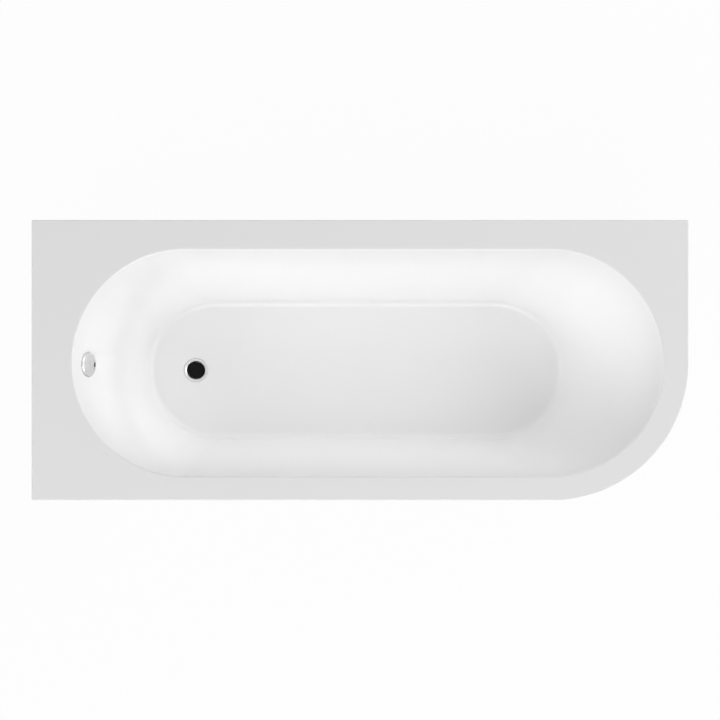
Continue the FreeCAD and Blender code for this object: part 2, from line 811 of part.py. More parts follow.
def make_panel():
    """The apron panel with its turned-in edges, and the timber on its back."""
    body = new_body("panel_form")
    pad(body, "panel_wall", panel_strip(size.panel_thickness), panel_bottom, panel_top - panel_bottom)
    pad(body, "panel_top_edge", panel_strip(size.top_return), panel_hook, size.panel_thickness)
    pad(body, "panel_bottom_edge", panel_strip(size.bottom_return), panel_bottom, size.panel_thickness)
    node("apron_panel", body)
    inward = (bracket_face - size.panel_batten_width, bracket_face)
    height = (panel_batten_low, panel_batten_low + size.panel_batten_height)
    along = (left + panel_face + size.panel_batten_inset, right - round_corner)
    timber = side_block("panel_timber", "front", along, inward, height)
    pilots = [
        side_rod(
            f"bracket_pilot_{side}_{index}",
            "front",
            size.screw_radius + size.running_gap,
            cradle_places[side],
            (bracket_face - size.screw_length, bracket_face + size.cut_overrun),
            z,
        )
        for side in cradle_places
        for index, z in enumerate(bracket_screw_heights)
    ]
    node("panel_batten_front", cut("panel_timber_cut", timber, pilots))
    node("panel_batten_end", side_block("panel_end_timber", "right", end_run, inward, height))


def make_brackets():
    """The brackets from the cradles to the panel, with their bolts, nuts and screws."""
    brackets = []
    bolts = []
    nuts = []
    screws = []
    lap = axis - size.channel_length / 2 + size.bracket_lap - front
    leg_under = web_under - size.bracket_thickness
    hole = size.bolt_radius + size.running_gap
    for side, x in cradle_places.items():
        along = (x - size.bracket_width / 2, x + size.bracket_width / 2)
        post = side_block(
            f"bracket_post_{side}",
            "front",
            along,
            (bracket_face, bracket_face + size.bracket_thickness),
            (panel_batten_low + size.bracket_drop, web_under),
        )
        arm = side_block(f"bracket_arm_{side}", "front", along, (bracket_face, lap), (leg_under, web_under))
        tools = [
            upright(
                f"bracket_eye_{side}",
                hole,
                x,
                bracket_bolt_y,
                leg_under - size.cut_overrun,
                web_under + size.cut_overrun,
            )
        ]
        for index, z in enumerate(bracket_screw_heights):
            name = f"bracket_screw_{side}_{index}"
            tools.append(
                side_rod(
                    f"{name}_hole",
                    "front",
                    size.screw_radius + size.running_gap,
                    x,
                    (bracket_face - size.cut_overrun, bracket_face + size.cut_overrun),
                    z,
                )
            )
            face = bracket_face + size.bracket_thickness
            screws.append(wood_screw(name, "front", x, face, -1, z))
        brackets.append(cut(f"bracket_{side}", fuse(f"bracket_bent_{side}", [post, arm]), tools))
        y = bracket_bolt_y
        low = leg_under - size.bolt_head
        high = board_bottom + size.bolt_nut + size.bolt_tail
        bolt_head = prism(f"bolt_head_{side}", HEXAGON, size.bolt_flats, size.bolt_head, x, y, low)
        shank = upright(f"bolt_shank_{side}", size.bolt_radius, x, y, low, high)
        bolts.append(fuse(f"bolt_{side}", [bolt_head, shank]))
        nut_name = f"bolt_nut_{side}"
        nuts.append(hexagon_nut(nut_name, size.bolt_flats, size.bolt_nut, hole, x, y, board_bottom))
    node("panel_brackets", group("bracket_group", brackets))
    node("bracket_bolts", group("bolt_group", bolts))
    node("bracket_nuts", group("bolt_nut_group", nuts))
    node("bracket_screws", group("bracket_screw_group", screws))


def hexagon_nut(name, flats, height, bore, x, y, z):
    """A standing hexagon nut."""
    form = prism(f"{name}_form", HEXAGON, flats, height, x, y, z)
    hole = upright(f"{name}_bore", bore, x, y, z - size.cut_overrun, z + height + size.cut_overrun)
    return cut(name, form, [hole])


def make_hooks():
    """The wall brackets that hold the lip down at the back and at the left end."""
    ledge = lip_bottom - size.hook_thickness
    places = {
        "back_left": ("back", -size.hook_spread / 2),
        "back_right": ("back", size.hook_spread / 2),
        "left": ("left", axis + size.hook_left_offset),
    }
    hooks = []
    for name, (side, middle) in places.items():
        along = (middle - size.hook_width / 2, middle + size.hook_width / 2)
        low = lip_bottom - size.hook_plate
        plate = side_block(f"hook_plate_{name}", side, along, (0, size.hook_thickness), (low, lip_bottom))
        shelf = side_block(f"hook_shelf_{name}", side, along, (0, size.hook_depth), (ledge, lip_bottom))
        rise = side_block(
            f"hook_rise_{name}",
            side,
            along,
            (size.hook_depth - size.hook_thickness, size.hook_depth),
            (ledge, lip_bottom + size.hook_rise),
        )
        holes = [
            side_rod(
                f"hook_hole_{name}_{sign}",
                side,
                size.hook_hole_radius,
                middle + size.hook_hole_spread * sign / 2,
                (-size.cut_overrun, size.cut_overrun),
                lip_bottom - size.hook_plate / 2,
            )
            for sign in (-1, 1)
        ]
        hooks.append(cut(f"hook_{name}", fuse(f"hook_bent_{name}", [plate, shelf, rise]), holes))
    node("wall_brackets", group("hook_group", hooks))


def board_screw_places():
    """Plan places of the screws of both cradles, then of the centre plate."""
    cradle = [
        (side, x + size.board_screw_spread * across / 2, axis + size.board_screw_span * along / 2)
        for side, x in cradle_places.items()
        for across in (-1, 1)
        for along in (-1, 1)
    ]
    reach_x = size.plate_length / 2 - size.plate_screw_inset
    reach_y = size.plate_width / 2 - size.plate_screw_inset
    plate = [
        ("centre", board_middle + reach_x * across, axis + reach_y * along)
        for across in (-1, 1)
        for along in (-1, 1)
    ]
    return cradle + plate


def screw_face(owner):
    """Height of the face under which a board screw has its head."""
    return board_bottom - size.plate_thickness if owner == "centre" else web_under


def make_base():
    """The base board, the cradles, the centre plate and their screws."""
    wide = size.screw_radius + size.running_gap
    timber = block(
        "board_form",
        (floor_left, floor_right),
        (axis - size.board_width / 2, axis + size.board_width / 2),
        (board_bottom, backing_bottom),
    )
    pilots = [
        upright(
            "board_stud_hole",
            size.board_hole_radius,
            board_middle,
            axis,
            board_bottom - size.cut_overrun,
            well_floor,
        )
    ]
    holes = {"left": [], "right": [], "centre": []}
    screws = []
    for index, (owner, x, y) in enumerate(board_screw_places()):
        face = screw_face(owner)
        head_low = face - size.screw_head
        tip = face + size.screw_length
        pilots.append(upright(f"board_pilot_{index}", wide, x, y, board_bottom - size.cut_overrun, tip))
        holes[owner].append(upright(f"board_screw_hole_{index}", wide, x, y, face - size.cut_overrun, tip))
        head = upright(f"board_screw_head_{index}", size.screw_head_radius, x, y, head_low, face)
        shank = upright(f"board_screw_shank_{index}", size.screw_radius, x, y, head_low, tip)
        screws.append(fuse(f"board_screw_{index}", [head, shank]))
    node("base_board", cut("board_cut", timber, pilots))
    node("board_screws", group("board_screw_group", screws))

    for side, x in cradle_places.items():
        half = size.channel_width / 2
        reach = size.channel_length / 2
        channel = block(
            f"channel_{side}",
            (x - half, x + half),
            (axis - reach, axis + reach),
            (board_bottom - size.channel_height, board_bottom),
        )
        hollow = block(
            f"channel_hollow_{side}",
            (x - half + size.steel, x + half - size.steel),
            (axis - reach - size.cut_overrun, axis + reach + size.cut_overrun),
            (board_bottom - size.channel_height - size.cut_overrun, web_under),
        )
        above = board_bottom + size.cut_overrun
        below = web_under - size.cut_overrun
        stud_hole = size.stud_radius + size.stud_hole_gap
        bolt_hole = size.bolt_radius + size.running_gap
        tools = [hollow, upright(f"channel_bolt_{side}", bolt_hole, x, bracket_bolt_y, below, above)]
        for row, y in foot_rows.items():
            tools.append(upright(f"channel_stud_{side}_{row}", stud_hole, x, y, below, above))
        node(f"cradle_{side}", cut(f"channel_cut_{side}", channel, tools + holes[side]))

    plate_under = board_bottom - size.plate_thickness
    plate = block(
        "plate_form",
        (board_middle - size.plate_length / 2, board_middle + size.plate_length / 2),
        (axis - size.plate_width / 2, axis + size.plate_width / 2),
        (plate_under, board_bottom),
    )
    nut_low = plate_under - size.nut_height
    nut = prism("plate_nut", HEXAGON, size.nut_flats, size.nut_height, board_middle, axis, nut_low)
    bore = upright(
        "plate_bore",
        size.stud_radius + size.running_gap,
        board_middle,
        axis,
        nut_low - size.cut_overrun,
        board_bottom + size.cut_overrun,
    )
    welded = fuse("plate_welded", [plate, nut])
    node("centre_foot_plate", cut("plate_cut", welded, [bore] + holes["centre"]))


def make_foot(name, x, y, stud_top):
    """One pad with its stud."""
    bore = size.stud_radius + size.running_gap
    hub_top = size.pad_height + size.hub_height
    pad_body = turned(
        f"pad_form_{name}",
        [
            (0, 0),
            (size.pad_radius, 0),
            (size.pad_radius, size.pad_height - size.pad_chamfer),
            (size.pad_radius - size.pad_chamfer, size.pad_height),
            (size.hub_radius, size.pad_height),
            (size.hub_radius, hub_top),
            (bore, hub_top),
            (bore, size.pad_floor),
            (0, size.pad_floor),
        ],
    )
    node(f"foot_pad_{name}", place(pad_body, x, y))
    stud = upright(f"stud_rod_{name}", size.stud_radius, x, y, size.pad_floor, stud_top)
    spanner = prism(
        f"stud_hexagon_{name}",
        HEXAGON,
        size.spanner_flats,
        size.spanner_height,
        x,
        y,
        hub_top + size.spanner_clearance,
    )
    node(f"foot_stud_{name}", fuse(f"stud_{name}", [stud, spanner]))


def make_feet():
    """Four feet in the cradles, one under the middle, and the lock nuts."""
    nuts = []
    for row, y in foot_rows.items():
        for side, x in cradle_places.items():
            name = f"{row}_{side}"
            make_foot(name, x, y, board_bottom + size.nut_height + size.stud_head)
            for level, z in (("upper", board_bottom), ("lower", web_under - size.nut_height)):
                nuts.append(
                    hexagon_nut(
                        f"lock_nut_{name}_{level}",
                        size.nut_flats,
                        size.nut_height,
                        size.stud_radius + size.running_gap,
                        x,
                        y,
                        z,
                    )
                )
    make_foot("centre", board_middle, axis, board_bottom + size.plate_stud_rise)
    node("lock_nuts", group("lock_nut_group", nuts))


def make_waste():
    """The waste with its plug; heights are counted from the well floor."""
    top = size.flange_proud
    under = top - size.flange_thickness
    seat = top - size.throat_depth
    bowl_bottom = seat - size.seat_thickness
    tail_bottom = bowl_bottom - size.tail_length
    groove = tail_bottom + size.tail_end
    tail_bore = size.tail_radius - size.tail_wall
    seal_low = seat + size.loose_gap
    cap_low = seal_low + size.plug_seal_thickness
    cap_edge = cap_low + size.plug_thickness
    plug_radius = size.throat_radius - size.plug_gap
    spider_top = cap_low - size.spider_drop
    sleeve_bore = size.plunger_radius + size.running_gap
    sleeve = sleeve_bore + size.cartridge_wall
    eye = sleeve + size.spider_wall

    def at_waste(thing):
        return place(thing, waste_x, axis, well_floor)

    flange = at_waste(
        turned(
            "flange_form",
            [
                (size.flange_radius, under),
                (size.flange_radius, top - size.flange_bevel),
                (size.flange_radius - size.flange_bevel, top),
                (size.mouth_radius, top),
                (size.bowl_radius - size.throat_wall, top - size.mouth_depth),
                (size.throat_radius, seat),
                (tail_bore, seat),
                (tail_bore, tail_bottom),
                (size.tail_radius, tail_bottom),
                (size.tail_radius, groove),
                (size.tail_radius - size.groove_depth, groove),
                (size.tail_radius - size.groove_depth, groove + size.groove_width),
                (size.tail_radius, groove + size.groove_width),
                (size.tail_radius, bowl_bottom),
                (size.bowl_radius, bowl_bottom),
                (size.bowl_radius, under),
            ],
        )
    )
    slot_top = well_floor + bowl_bottom - size.tail_slot_drop
    slot_side = (axis - size.tail_slot_width / 2, axis + size.tail_slot_width / 2)
    slots = [
        block(
            f"tail_slot_{name}",
            (waste_x + low, waste_x + high),
            slot_side,
            (slot_top - size.tail_slot_height, slot_top),
        )
        for name, low, high in (
            ("near", tail_bore / 2, size.tail_radius + size.cut_overrun),
            ("far", -size.tail_radius - size.cut_overrun, -tail_bore / 2),
        )
    ]
    bar_reach = size.tail_radius - size.tail_wall / 2
    bar_height = (well_floor + spider_top - size.spider_height, well_floor + spider_top)
    bar = block(
        "spider_bar",
        (waste_x - size.spider_width / 2, waste_x + size.spider_width / 2),
        (axis - bar_reach, axis + bar_reach),
        bar_height,
    )
    hub = upright("spider_hub", eye, waste_x, axis, *bar_height)
    hole = upright(
        "spider_eye",
        sleeve + size.running_gap,
        waste_x,
        axis,
        bar_height[0] - size.cut_overrun,
        bar_height[1] + size.cut_overrun,
    )
    body = fuse("flange_with_spider", [cut("flange_slotted", flange, slots), bar, hub])
    node("waste_flange", cut("flange_cut", body, [hole]))

    cap = turned(
        "cap_form",
        [
            (0, cap_low),
            (plug_radius, cap_low),
            (plug_radius, cap_edge - size.plug_bevel),
            (plug_radius - size.plug_bevel, cap_edge),
            (0, cap_edge + size.plug_dome),
        ],
    )
    node("plug_cap", at_waste(cap))
    seal_edge = plug_radius - size.loose_gap
    seal = ring("plug_seal_form", seal_edge - size.plug_seal_width, seal_edge, seal_low, cap_low)
    node("plug_seal", at_waste(seal))
    plunger = upright(
        "plunger_form",
        size.plunger_radius,
        waste_x,
        axis,
        well_floor + cap_low - size.plunger_length,
        well_floor + cap_low,
    )
    node("plug_plunger", plunger)
    sleeve_top = cap_low - size.cartridge_drop
    sleeve_floor = cap_low - size.plunger_length - size.loose_gap
    cartridge = turned(
        "cartridge_form",
        [
            (sleeve_bore, sleeve_top),
            (sleeve, sleeve_top),
            (sleeve, spider_top + size.cartridge_collar),
            (eye, spider_top + size.cartridge_collar),
            (eye, spider_top),
            (sleeve, spider_top),
            (sleeve, sleeve_floor - size.cartridge_floor),
            (0, sleeve_floor - size.cartridge_floor),
            (0, sleeve_floor),
            (sleeve_bore, sleeve_floor),
        ],
    )
    node("plug_cartridge", at_waste(cartridge))

    collar = size.flange_radius + size.boss_margin
    throat_gap = size.bowl_radius + size.loose_gap
    tail_gap = size.tail_radius + size.loose_gap
    top_seal = ring(
        "top_seal_form",
        size.bowl_radius + size.recess_gap,
        size.flange_radius - size.loose_gap,
        -size.recess_depth,
        under,
    )
    node("waste_top_seal", at_waste(top_seal))
    boss_bottom = -size.acrylic - size.recess_depth
    banjo_top = boss_bottom - size.seal_thickness
    bottom_seal = ring("bottom_seal_form", throat_gap, collar, banjo_top, boss_bottom)
    node("waste_bottom_seal", at_waste(bottom_seal))

    inside = size.bowl_radius + size.banjo_space
    outside = inside + size.banjo_wall
    banjo_bottom = banjo_top - size.banjo_height
    chamber = (banjo_bottom + size.banjo_wall, banjo_top - size.banjo_wall)
    banjo = at_waste(
        turned(
            "banjo_form",
            [
                (throat_gap, banjo_top),
                (collar, banjo_top),
                (collar, chamber[1]),
                (outside, chamber[1]),
                (outside, banjo_bottom),
                (tail_gap, banjo_bottom),
                (tail_gap, chamber[0]),
                (inside, chamber[0]),
                (inside, chamber[1]),
                (throat_gap, chamber[1]),
            ],
        )
    )
    port = towards_overflow(rod("port_form", socket_radius + size.socket_wall, size.port_reach))
    water_way = size.pipe_radius - size.pipe_wall
    port_socket = rod("port_socket", socket_radius, size.socket_depth + size.cut_overrun)
    tools = [
        upright("banjo_chamber", inside, waste_x, axis, well_floor + chamber[0], well_floor + chamber[1]),
        towards_overflow(rod("port_bore", water_way, size.port_reach + size.cut_overrun)),
        towards_overflow(port_socket, size.port_reach - size.socket_depth),
    ]
    node("waste_banjo", cut("banjo_cut", fuse("banjo_with_port", [banjo, port]), tools))
    lower_top = banjo_bottom - size.seal_thickness
    node("waste_lower_seal", at_waste(ring("lower_seal_form", tail_gap, outside, lower_top, banjo_bottom)))
    nut_low = well_floor + lower_top - size.back_nut_height
    nut = prism("back_nut_form", NUT_SIDES, outside * 2, size.back_nut_height, waste_x, axis, nut_low)
    bore = upright(
        "back_nut_bore",
        tail_gap,
        waste_x,
        axis,
        nut_low - size.cut_overrun,
        well_floor + lower_top + size.cut_overrun,
    )
    node("waste_back_nut", cut("back_nut_cut", nut, [bore]))


def towards_overflow(thing, distance=0):
    """Put a piece on the line of the overflow inlet, its own Z away from the waste."""
    thing.Placement.Rotation = FreeCAD.Rotation(FreeCAD.Vector(0, 1, 0), -QUARTER)
    return place(thing, waste_x - distance, axis, port_z)


def make_overflow():
    """The overflow in the end wall; heights are counted out of the wall."""
    seat = -size.seat_depth
    bush_bore = size.bush_radius - size.bush_wall
    bush_edge = size.cover_radius - size.cover_wall - size.loose_gap
    bush = turned(
        "bush_form",
        [
            (bush_bore, seat + size.bush_flange),
            (bush_edge, seat + size.bush_flange),
            (bush_edge, seat),
            (size.bush_radius, seat),
            (size.bush_radius, seat - size.bush_length),
            (bush_bore, seat - size.bush_length),
        ],
    )
    node("overflow_bush", place_on_wall(bush, 0, 0))

    face = seat + size.cover_depth
    inner = size.cover_radius - size.cover_wall
    cover = turned(
        "cover_form",
        [
            (size.cover_radius, seat),
            (size.cover_radius, face - size.cover_bevel),
            (size.cover_radius - size.cover_bevel, face),
            (0, face + size.cover_dome),
            (0, face + size.cover_dome - size.cover_wall),
            (inner, face - size.cover_wall),
            (inner, seat),
        ],
    )
    place_on_wall(cover, 0, 0)
    slot = document.addObject("Part::Box", "cover_slot")
    slot.setExpression("Length", size.cover_slot_height.formula)
    slot.setExpression("Width", size.cover_slot_width.formula)
    slot.setExpression("Height", (size.cover_depth + size.cut_overrun).formula)
    slot_low = size.cover_radius - size.cover_slot_edge - size.cover_slot_height
    place_on_wall(slot, slot_low, seat + size.bush_flange, sideways=-size.cover_slot_width / 2)
    node("overflow_cover", cut("cover_cut", cover, [slot]))

    boss_low = -size.acrylic - size.overflow_boss
    flange_top = boss_low - size.seal_thickness
    bore = size.bush_radius + size.loose_gap
    outside = bore + size.elbow_wall
    flange = outside + size.elbow_flange
    bottom = flange_top - size.elbow_depth
    seal = ring("overflow_seal_form", bore, flange, flange_top, boss_low)
    node("overflow_seal", place_on_wall(seal, 0, 0))
    cup = turned(
        "elbow_cup",
        [
            (0, bottom),
            (outside, bottom),
            (outside, flange_top - size.elbow_wall),
            (flange, flange_top - size.elbow_wall),
            (flange, flange_top),
            (0, flange_top),
        ],
    )
    place_on_wall(cup, 0, 0)
    spigot = rod("elbow_spigot", socket_radius + size.socket_wall, size.spigot_reach)
    place_on_wall(spigot, 0, spigot_out, along_wall=True)
    inside_low = bottom + size.elbow_wall
    tools = [
        place_on_wall(rod("elbow_inside", bore, flange_top - inside_low + size.cut_overrun), 0, inside_low),
        place_on_wall(
            rod("elbow_bore", size.pipe_radius - size.pipe_wall, size.spigot_reach + size.cut_overrun),
            0,
            spigot_out,
            along_wall=True,
        ),
        place_on_wall(
            rod("elbow_socket", socket_radius, size.socket_depth + size.cut_overrun),
            size.spigot_reach - size.socket_depth,
            spigot_out,
            along_wall=True,
        ),
    ]
    node("overflow_elbow", cut("elbow_cut", fuse("elbow_form", [cup, spigot]), tools))


def make_pipe():
    """The rigid pipe from the elbow to the waste, with its nuts and ring seals."""
    body = new_body("pipe_form")
    spine = sketch_on(body, "XZ_Plane", "pipe_route")
    start_down = size.spigot_reach - size.socket_depth + size.pipe_end_gap
    start = (
        overflow_x + lean_across * start_down + lean_down * spigot_out,
        overflow_z - lean_down * start_down + lean_across * spigot_out,
    )
    corner = start[0] + (start[1] - port_z) * size.left_wall_run / well_depth
    tangent = size.pipe_bend * well_depth / (wall_slope + size.left_wall_run)
    centre = (corner + tangent, port_z + size.pipe_bend)
    bend_start = (corner - tangent * lean_across, port_z + tangent * lean_down)
    end = (waste_x - size.port_reach + size.socket_depth - size.pipe_end_gap, port_z)

    def point(spot):
        return FreeCAD.Vector(number(spot[0]), number(spot[1]), 0)

    first = spine.addGeometry(Part.LineSegment(point(start), point(bend_start)), False)
    circle = Part.Circle(point(centre), FreeCAD.Vector(0, 0, 1), size.pipe_bend.value)
    angle = math.pi + math.atan2(lean_across.value, lean_down.value)
    bend = spine.addGeometry(Part.ArcOfCircle(circle, angle, 3 * math.pi / 2), False)
    bend_end = (centre[0], port_z)
    last = spine.addGeometry(Part.LineSegment(point(bend_end), point(end)), False)
    for item, place_in_item, spot in ((first, 1, start), (bend, 3, centre), (last, 2, end)):
        hold(spine, "DistanceX", item, place_in_item, spot[0])
        hold(spine, "DistanceY", item, place_in_item, spot[1])
    index = spine.addConstraint(Sketcher.Constraint("Radius", bend, size.pipe_bend.value))
    spine.setExpression(f"Constraints[{index}]", size.pipe_bend.formula)
    hold(spine, "DistanceY", bend, 1, bend_start[1])
    hold(spine, "DistanceX", bend, 2, centre[0])
    spine.addConstraint(Sketcher.Constraint("Coincident", first, 2, bend, 1))
    spine.addConstraint(Sketcher.Constraint("Coincident", bend, 2, last, 1))
    document.recompute()

    section = body.newObject("Sketcher::SketchObject", "pipe_section")
    section.AttachmentSupport = [(spine, "Edge1")]
    section.MapMode = "NormalToEdge"
    for radius in (size.pipe_radius, size.pipe_radius - size.pipe_wall):
        item = section.addGeometry(
            Part.Circle(FreeCAD.Vector(), FreeCAD.Vector(0, 0, 1), radius.value), False
        )
        section.addConstraint(Sketcher.Constraint("Coincident", item, 3, -1, 1))
        index = section.addConstraint(Sketcher.Constraint("Radius", item, radius.value))
        section.setExpression(f"Constraints[{index}]", radius.formula)
    sweep = body.newObject("PartDesign::AdditivePipe", "pipe_sweep")
    sweep.Profile = section
    sweep.Spine = (spine, ["Edge1", "Edge2", "Edge3"])
    node("overflow_pipe", place(body, 0, axis, 0))

    nuts = []
    seals = []
    for name, reach in (("upper", size.spigot_reach), ("lower", size.port_reach)):
        seal_top = reach + size.pipe_seal_length
        nut_bore = socket_radius + size.socket_wall + size.loose_gap
        low = reach - size.pipe_nut_grip
        form = prism(
            f"pipe_nut_form_{name}",
            PIPE_NUT_SIDES,
            (nut_bore + size.pipe_nut_wall) * 2,
            seal_top + size.pipe_nut_end - low,
            0,
            0,
            low,
        )
        nut_top = seal_top + size.pipe_nut_end
        bores = [
            upright(f"pipe_nut_bore_{name}", nut_bore, 0, 0, low - size.cut_overrun, seal_top),
            upright(f"pipe_nut_eye_{name}", socket_radius, 0, 0, low, nut_top + size.cut_overrun),
        ]
        nut = cut(f"pipe_nut_{name}", form, bores)
        seal = ring(f"pipe_seal_{name}", socket_radius, socket_radius + size.socket_wall, reach, seal_top)
        for piece, pieces in ((nut, nuts), (seal, seals)):
            if name == "upper":
                place_on_wall(piece, 0, spigot_out, along_wall=True)
            else:
                towards_overflow(piece)
            pieces.append(piece)
    node("pipe_nuts", group("pipe_nut_group", nuts))
    node("pipe_seals", group("pipe_seal_group", seals))


def check(thing):
    """Stop if a sub-part failed or isn't made of closed solids."""
    bad = {"Invalid", "Error"} & set(thing.State)
    shape = thing.Shape
    if bad or shape.isNull() or not shape.isValid() or not shape.Solids:
        raise RuntimeError(f"{thing.Label} has no valid solid: {thing.State}")


def main():
    """Build every sub-part, check it and write its file."""
    make_shell()
    make_backing()
    make_battens()
    make_clips()
    make_panel()
    make_brackets()
    make_hooks()
    make_base()
    make_feet()
    make_waste()
    make_overflow()
    make_pipe()
    document.recompute()
    for thing in document.Objects:
        if {"Invalid", "Error"} & set(thing.State):
            raise RuntimeError(f"{thing.Label} failed: {thing.State}")
    os.makedirs("parts", exist_ok=True)
    for label, thing in nodes.items():
        check(thing)
        thing.Shape.exportStep(f"parts/{label}.step")


main()
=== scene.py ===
"""Looks of a back-to-wall bathtub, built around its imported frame.

Every piece is in metres in the frame's own axes: X along the bath, Y towards the wall behind it, Z up.
"""

import logging
import math
from collections.abc import Iterable, Iterator, Mapping, Sequence
from contextlib import contextmanager
from dataclasses import dataclass, field
from enum import Enum, auto

import bmesh
import bpy
from mathutils import Matrix, Vector

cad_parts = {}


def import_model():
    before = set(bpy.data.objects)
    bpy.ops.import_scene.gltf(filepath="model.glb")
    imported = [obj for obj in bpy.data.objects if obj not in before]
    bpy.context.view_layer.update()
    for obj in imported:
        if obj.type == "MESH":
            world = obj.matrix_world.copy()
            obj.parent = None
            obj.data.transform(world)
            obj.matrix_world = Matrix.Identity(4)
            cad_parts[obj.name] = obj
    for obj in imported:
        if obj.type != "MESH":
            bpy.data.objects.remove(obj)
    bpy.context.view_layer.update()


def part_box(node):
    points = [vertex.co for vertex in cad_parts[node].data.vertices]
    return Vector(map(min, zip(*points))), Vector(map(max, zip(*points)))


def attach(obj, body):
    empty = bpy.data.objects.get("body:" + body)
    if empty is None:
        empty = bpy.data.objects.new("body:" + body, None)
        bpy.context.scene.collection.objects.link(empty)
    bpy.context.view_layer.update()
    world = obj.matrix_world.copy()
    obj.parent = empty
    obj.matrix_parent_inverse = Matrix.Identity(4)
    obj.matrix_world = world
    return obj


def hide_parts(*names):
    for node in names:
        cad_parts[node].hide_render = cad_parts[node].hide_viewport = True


LOG = logging.getLogger("bathtub")

Colour = tuple[float, float, float]
Spot = tuple[float, float, float]
Profile = list[tuple[float, float]]
Piece = bpy.types.Object
Shape = bmesh.types.BMesh
Socket = bpy.types.NodeSocket

UP = Vector((0.0, 0.0, 1.0))
DOWN = -UP
RIGHT = Vector((1.0, 0.0, 0.0))
BACK = Vector((0.0, 1.0, 0.0))
FRONT = Vector((0.0, -1.0, 0.0))
QUARTER = math.pi / 2
MERGE_DISTANCE = 2e-6
WELD_DISTANCE = 1e-5
LEVEL_DIGITS = 6
FLAT_ANGLE = math.radians(0.5)
SMOOTH_ANGLE = math.radians(38)
EVEN_WEIGHT = 100
ROUND_SIDES = 96
SMALL_SIDES = 32
BATH = "bath"
PLUG = "plug"
FEET = ("front_left", "front_right", "back_left", "back_right", "centre")


class Term:
    """A number inside a node tree that takes part in plain sums."""

    def __init__(self, wiring: "Wiring", socket: Socket) -> None:
        """Wrap one output socket of a tree.

        Args:
            wiring: The tree that the socket belongs to.
            socket: The output that carries the number.
        """
        self.wiring = wiring
        self.socket = socket

    def __add__(self, other: "Number") -> "Term":
        """Sum of two numbers."""
        return self.wiring.math("ADD", self, other)

    def __sub__(self, other: "Number") -> "Term":
        """Difference of two numbers."""
        return self.wiring.math("SUBTRACT", self, other)

    def __rsub__(self, other: float) -> "Term":
        """Difference from a plain number."""
        return self.wiring.math("SUBTRACT", other, self)

    def __mul__(self, other: "Number") -> "Term":
        """Product of two numbers."""
        return self.wiring.math("MULTIPLY", self, other)

    def __truediv__(self, other: "Number") -> "Term":
        """Quotient of two numbers."""
        return self.wiring.math("DIVIDE", self, other)

    def __mod__(self, other: "Number") -> "Term":
        """Rest of a division."""
        return self.wiring.math("MODULO", self, other)

    def whole(self) -> "Term":
        """The whole part of the number."""
        return self.wiring.math("FLOOR", self)

    def cosine(self) -> "Term":
        """The cosine of an angle in radians."""
        return self.wiring.math("COSINE", self)

    def sine(self) -> "Term":
        """The sine of an angle in radians."""
        return self.wiring.math("SINE", self)

    def held(self) -> "Term":
        """The number kept between 0 and 1."""
        return self.wiring.math("ADD", self, 0.0, use_clamp=True)

    def towards(self, other: "Number", share: "Number") -> "Term":
        """The number moved a share of the way to another."""
        return self + self.wiring.math("SUBTRACT", other, self) * share


Number = Term | float
Feed = Term | Socket | bpy.types.ID | float | int | bool | str | Sequence[float]


class Wiring:
    """The nodes of one tree, added and joined by short calls."""

    def __init__(self, tree: bpy.types.NodeTree) -> None:
        """Work on a shader or geometry node tree."""
        self.tree = tree

    def add(
        self, kind: str, feeds: Mapping[str | int, Feed] | None = None, **settings: object
    ) -> bpy.types.Node:
        """Add a node.

        Args:
            kind: The node's type name.
            feeds: What goes into its inputs, by name or by index.
            settings: Properties of the node.

        Returns:
            The new node.
        """
        node = self.tree.nodes.new(kind)
        for name, value in settings.items():
            setattr(node, name, value)
        for key, value in (feeds or {}).items():
            self.feed(node.inputs[key], value)
        return node

    def feed(self, socket: Socket, value: Feed) -> None:
        """Join an input to another node's output, or set its own value.

        Args:
            socket: The input.
            value: An output, a number of the tree, or a plain value.
        """
        if isinstance(value, Term):
            value = value.socket
        if isinstance(value, Socket):
            self.tree.links.new(value, socket)
        else:
            socket.default_value = value

    def math(self, operation: str, first: Number, second: Number = 0.0, use_clamp: bool = False) -> Term:
        """Work out one sum in the tree.

        Args:
            operation: The Math node's operation.
            first: The first number.
            second: The second number.
            use_clamp: Whether the result is kept between 0 and 1.

        Returns:
            The result.
        """
        node = self.add("ShaderNodeMath", {0: first, 1: second}, operation=operation, use_clamp=use_clamp)
        return Term(self, node.outputs[0])

    def point(self, x: Number, y: Number, z: Number) -> Socket:
        """A point made of three numbers."""
        return self.add("ShaderNodeCombineXYZ", {0: x, 1: y, 2: z}).outputs[0]

    def height(self, place: Socket) -> Term:
        """The third number of a point."""
        return Term(self, self.add("ShaderNodeSeparateXYZ", {0: place}).outputs[2])

    def place(self) -> Socket:
        """Where each point of a piece lies."""
        return self.add("ShaderNodeTexCoord").outputs["Object"]

    def noise(self, place: Socket, size: float, detail: float, swirl: float = 0.0) -> Term:
        """Soft random patches.

        Args:
            place: Where each point lies.
            size: The size of a patch.
            detail: How many finer layers there are.
            swirl: How strongly the patches are drawn about.

        Returns:
            A number from 0 to 1 at each point.
        """
        feeds = {"Vector": place, "Scale": 1.0 / size, "Detail": detail, "Distortion": swirl}
        return Term(self, self.add("ShaderNodeTexNoise", feeds).outputs[0])


class Pattern(Enum):
    """How the tone of a finish drifts over its surface."""

    CLOUD = auto()
    SPANGLE = auto()
    FLAKES = auto()
    FIBRES = auto()
    GRAIN_X = auto()
    GRAIN_Y = auto()


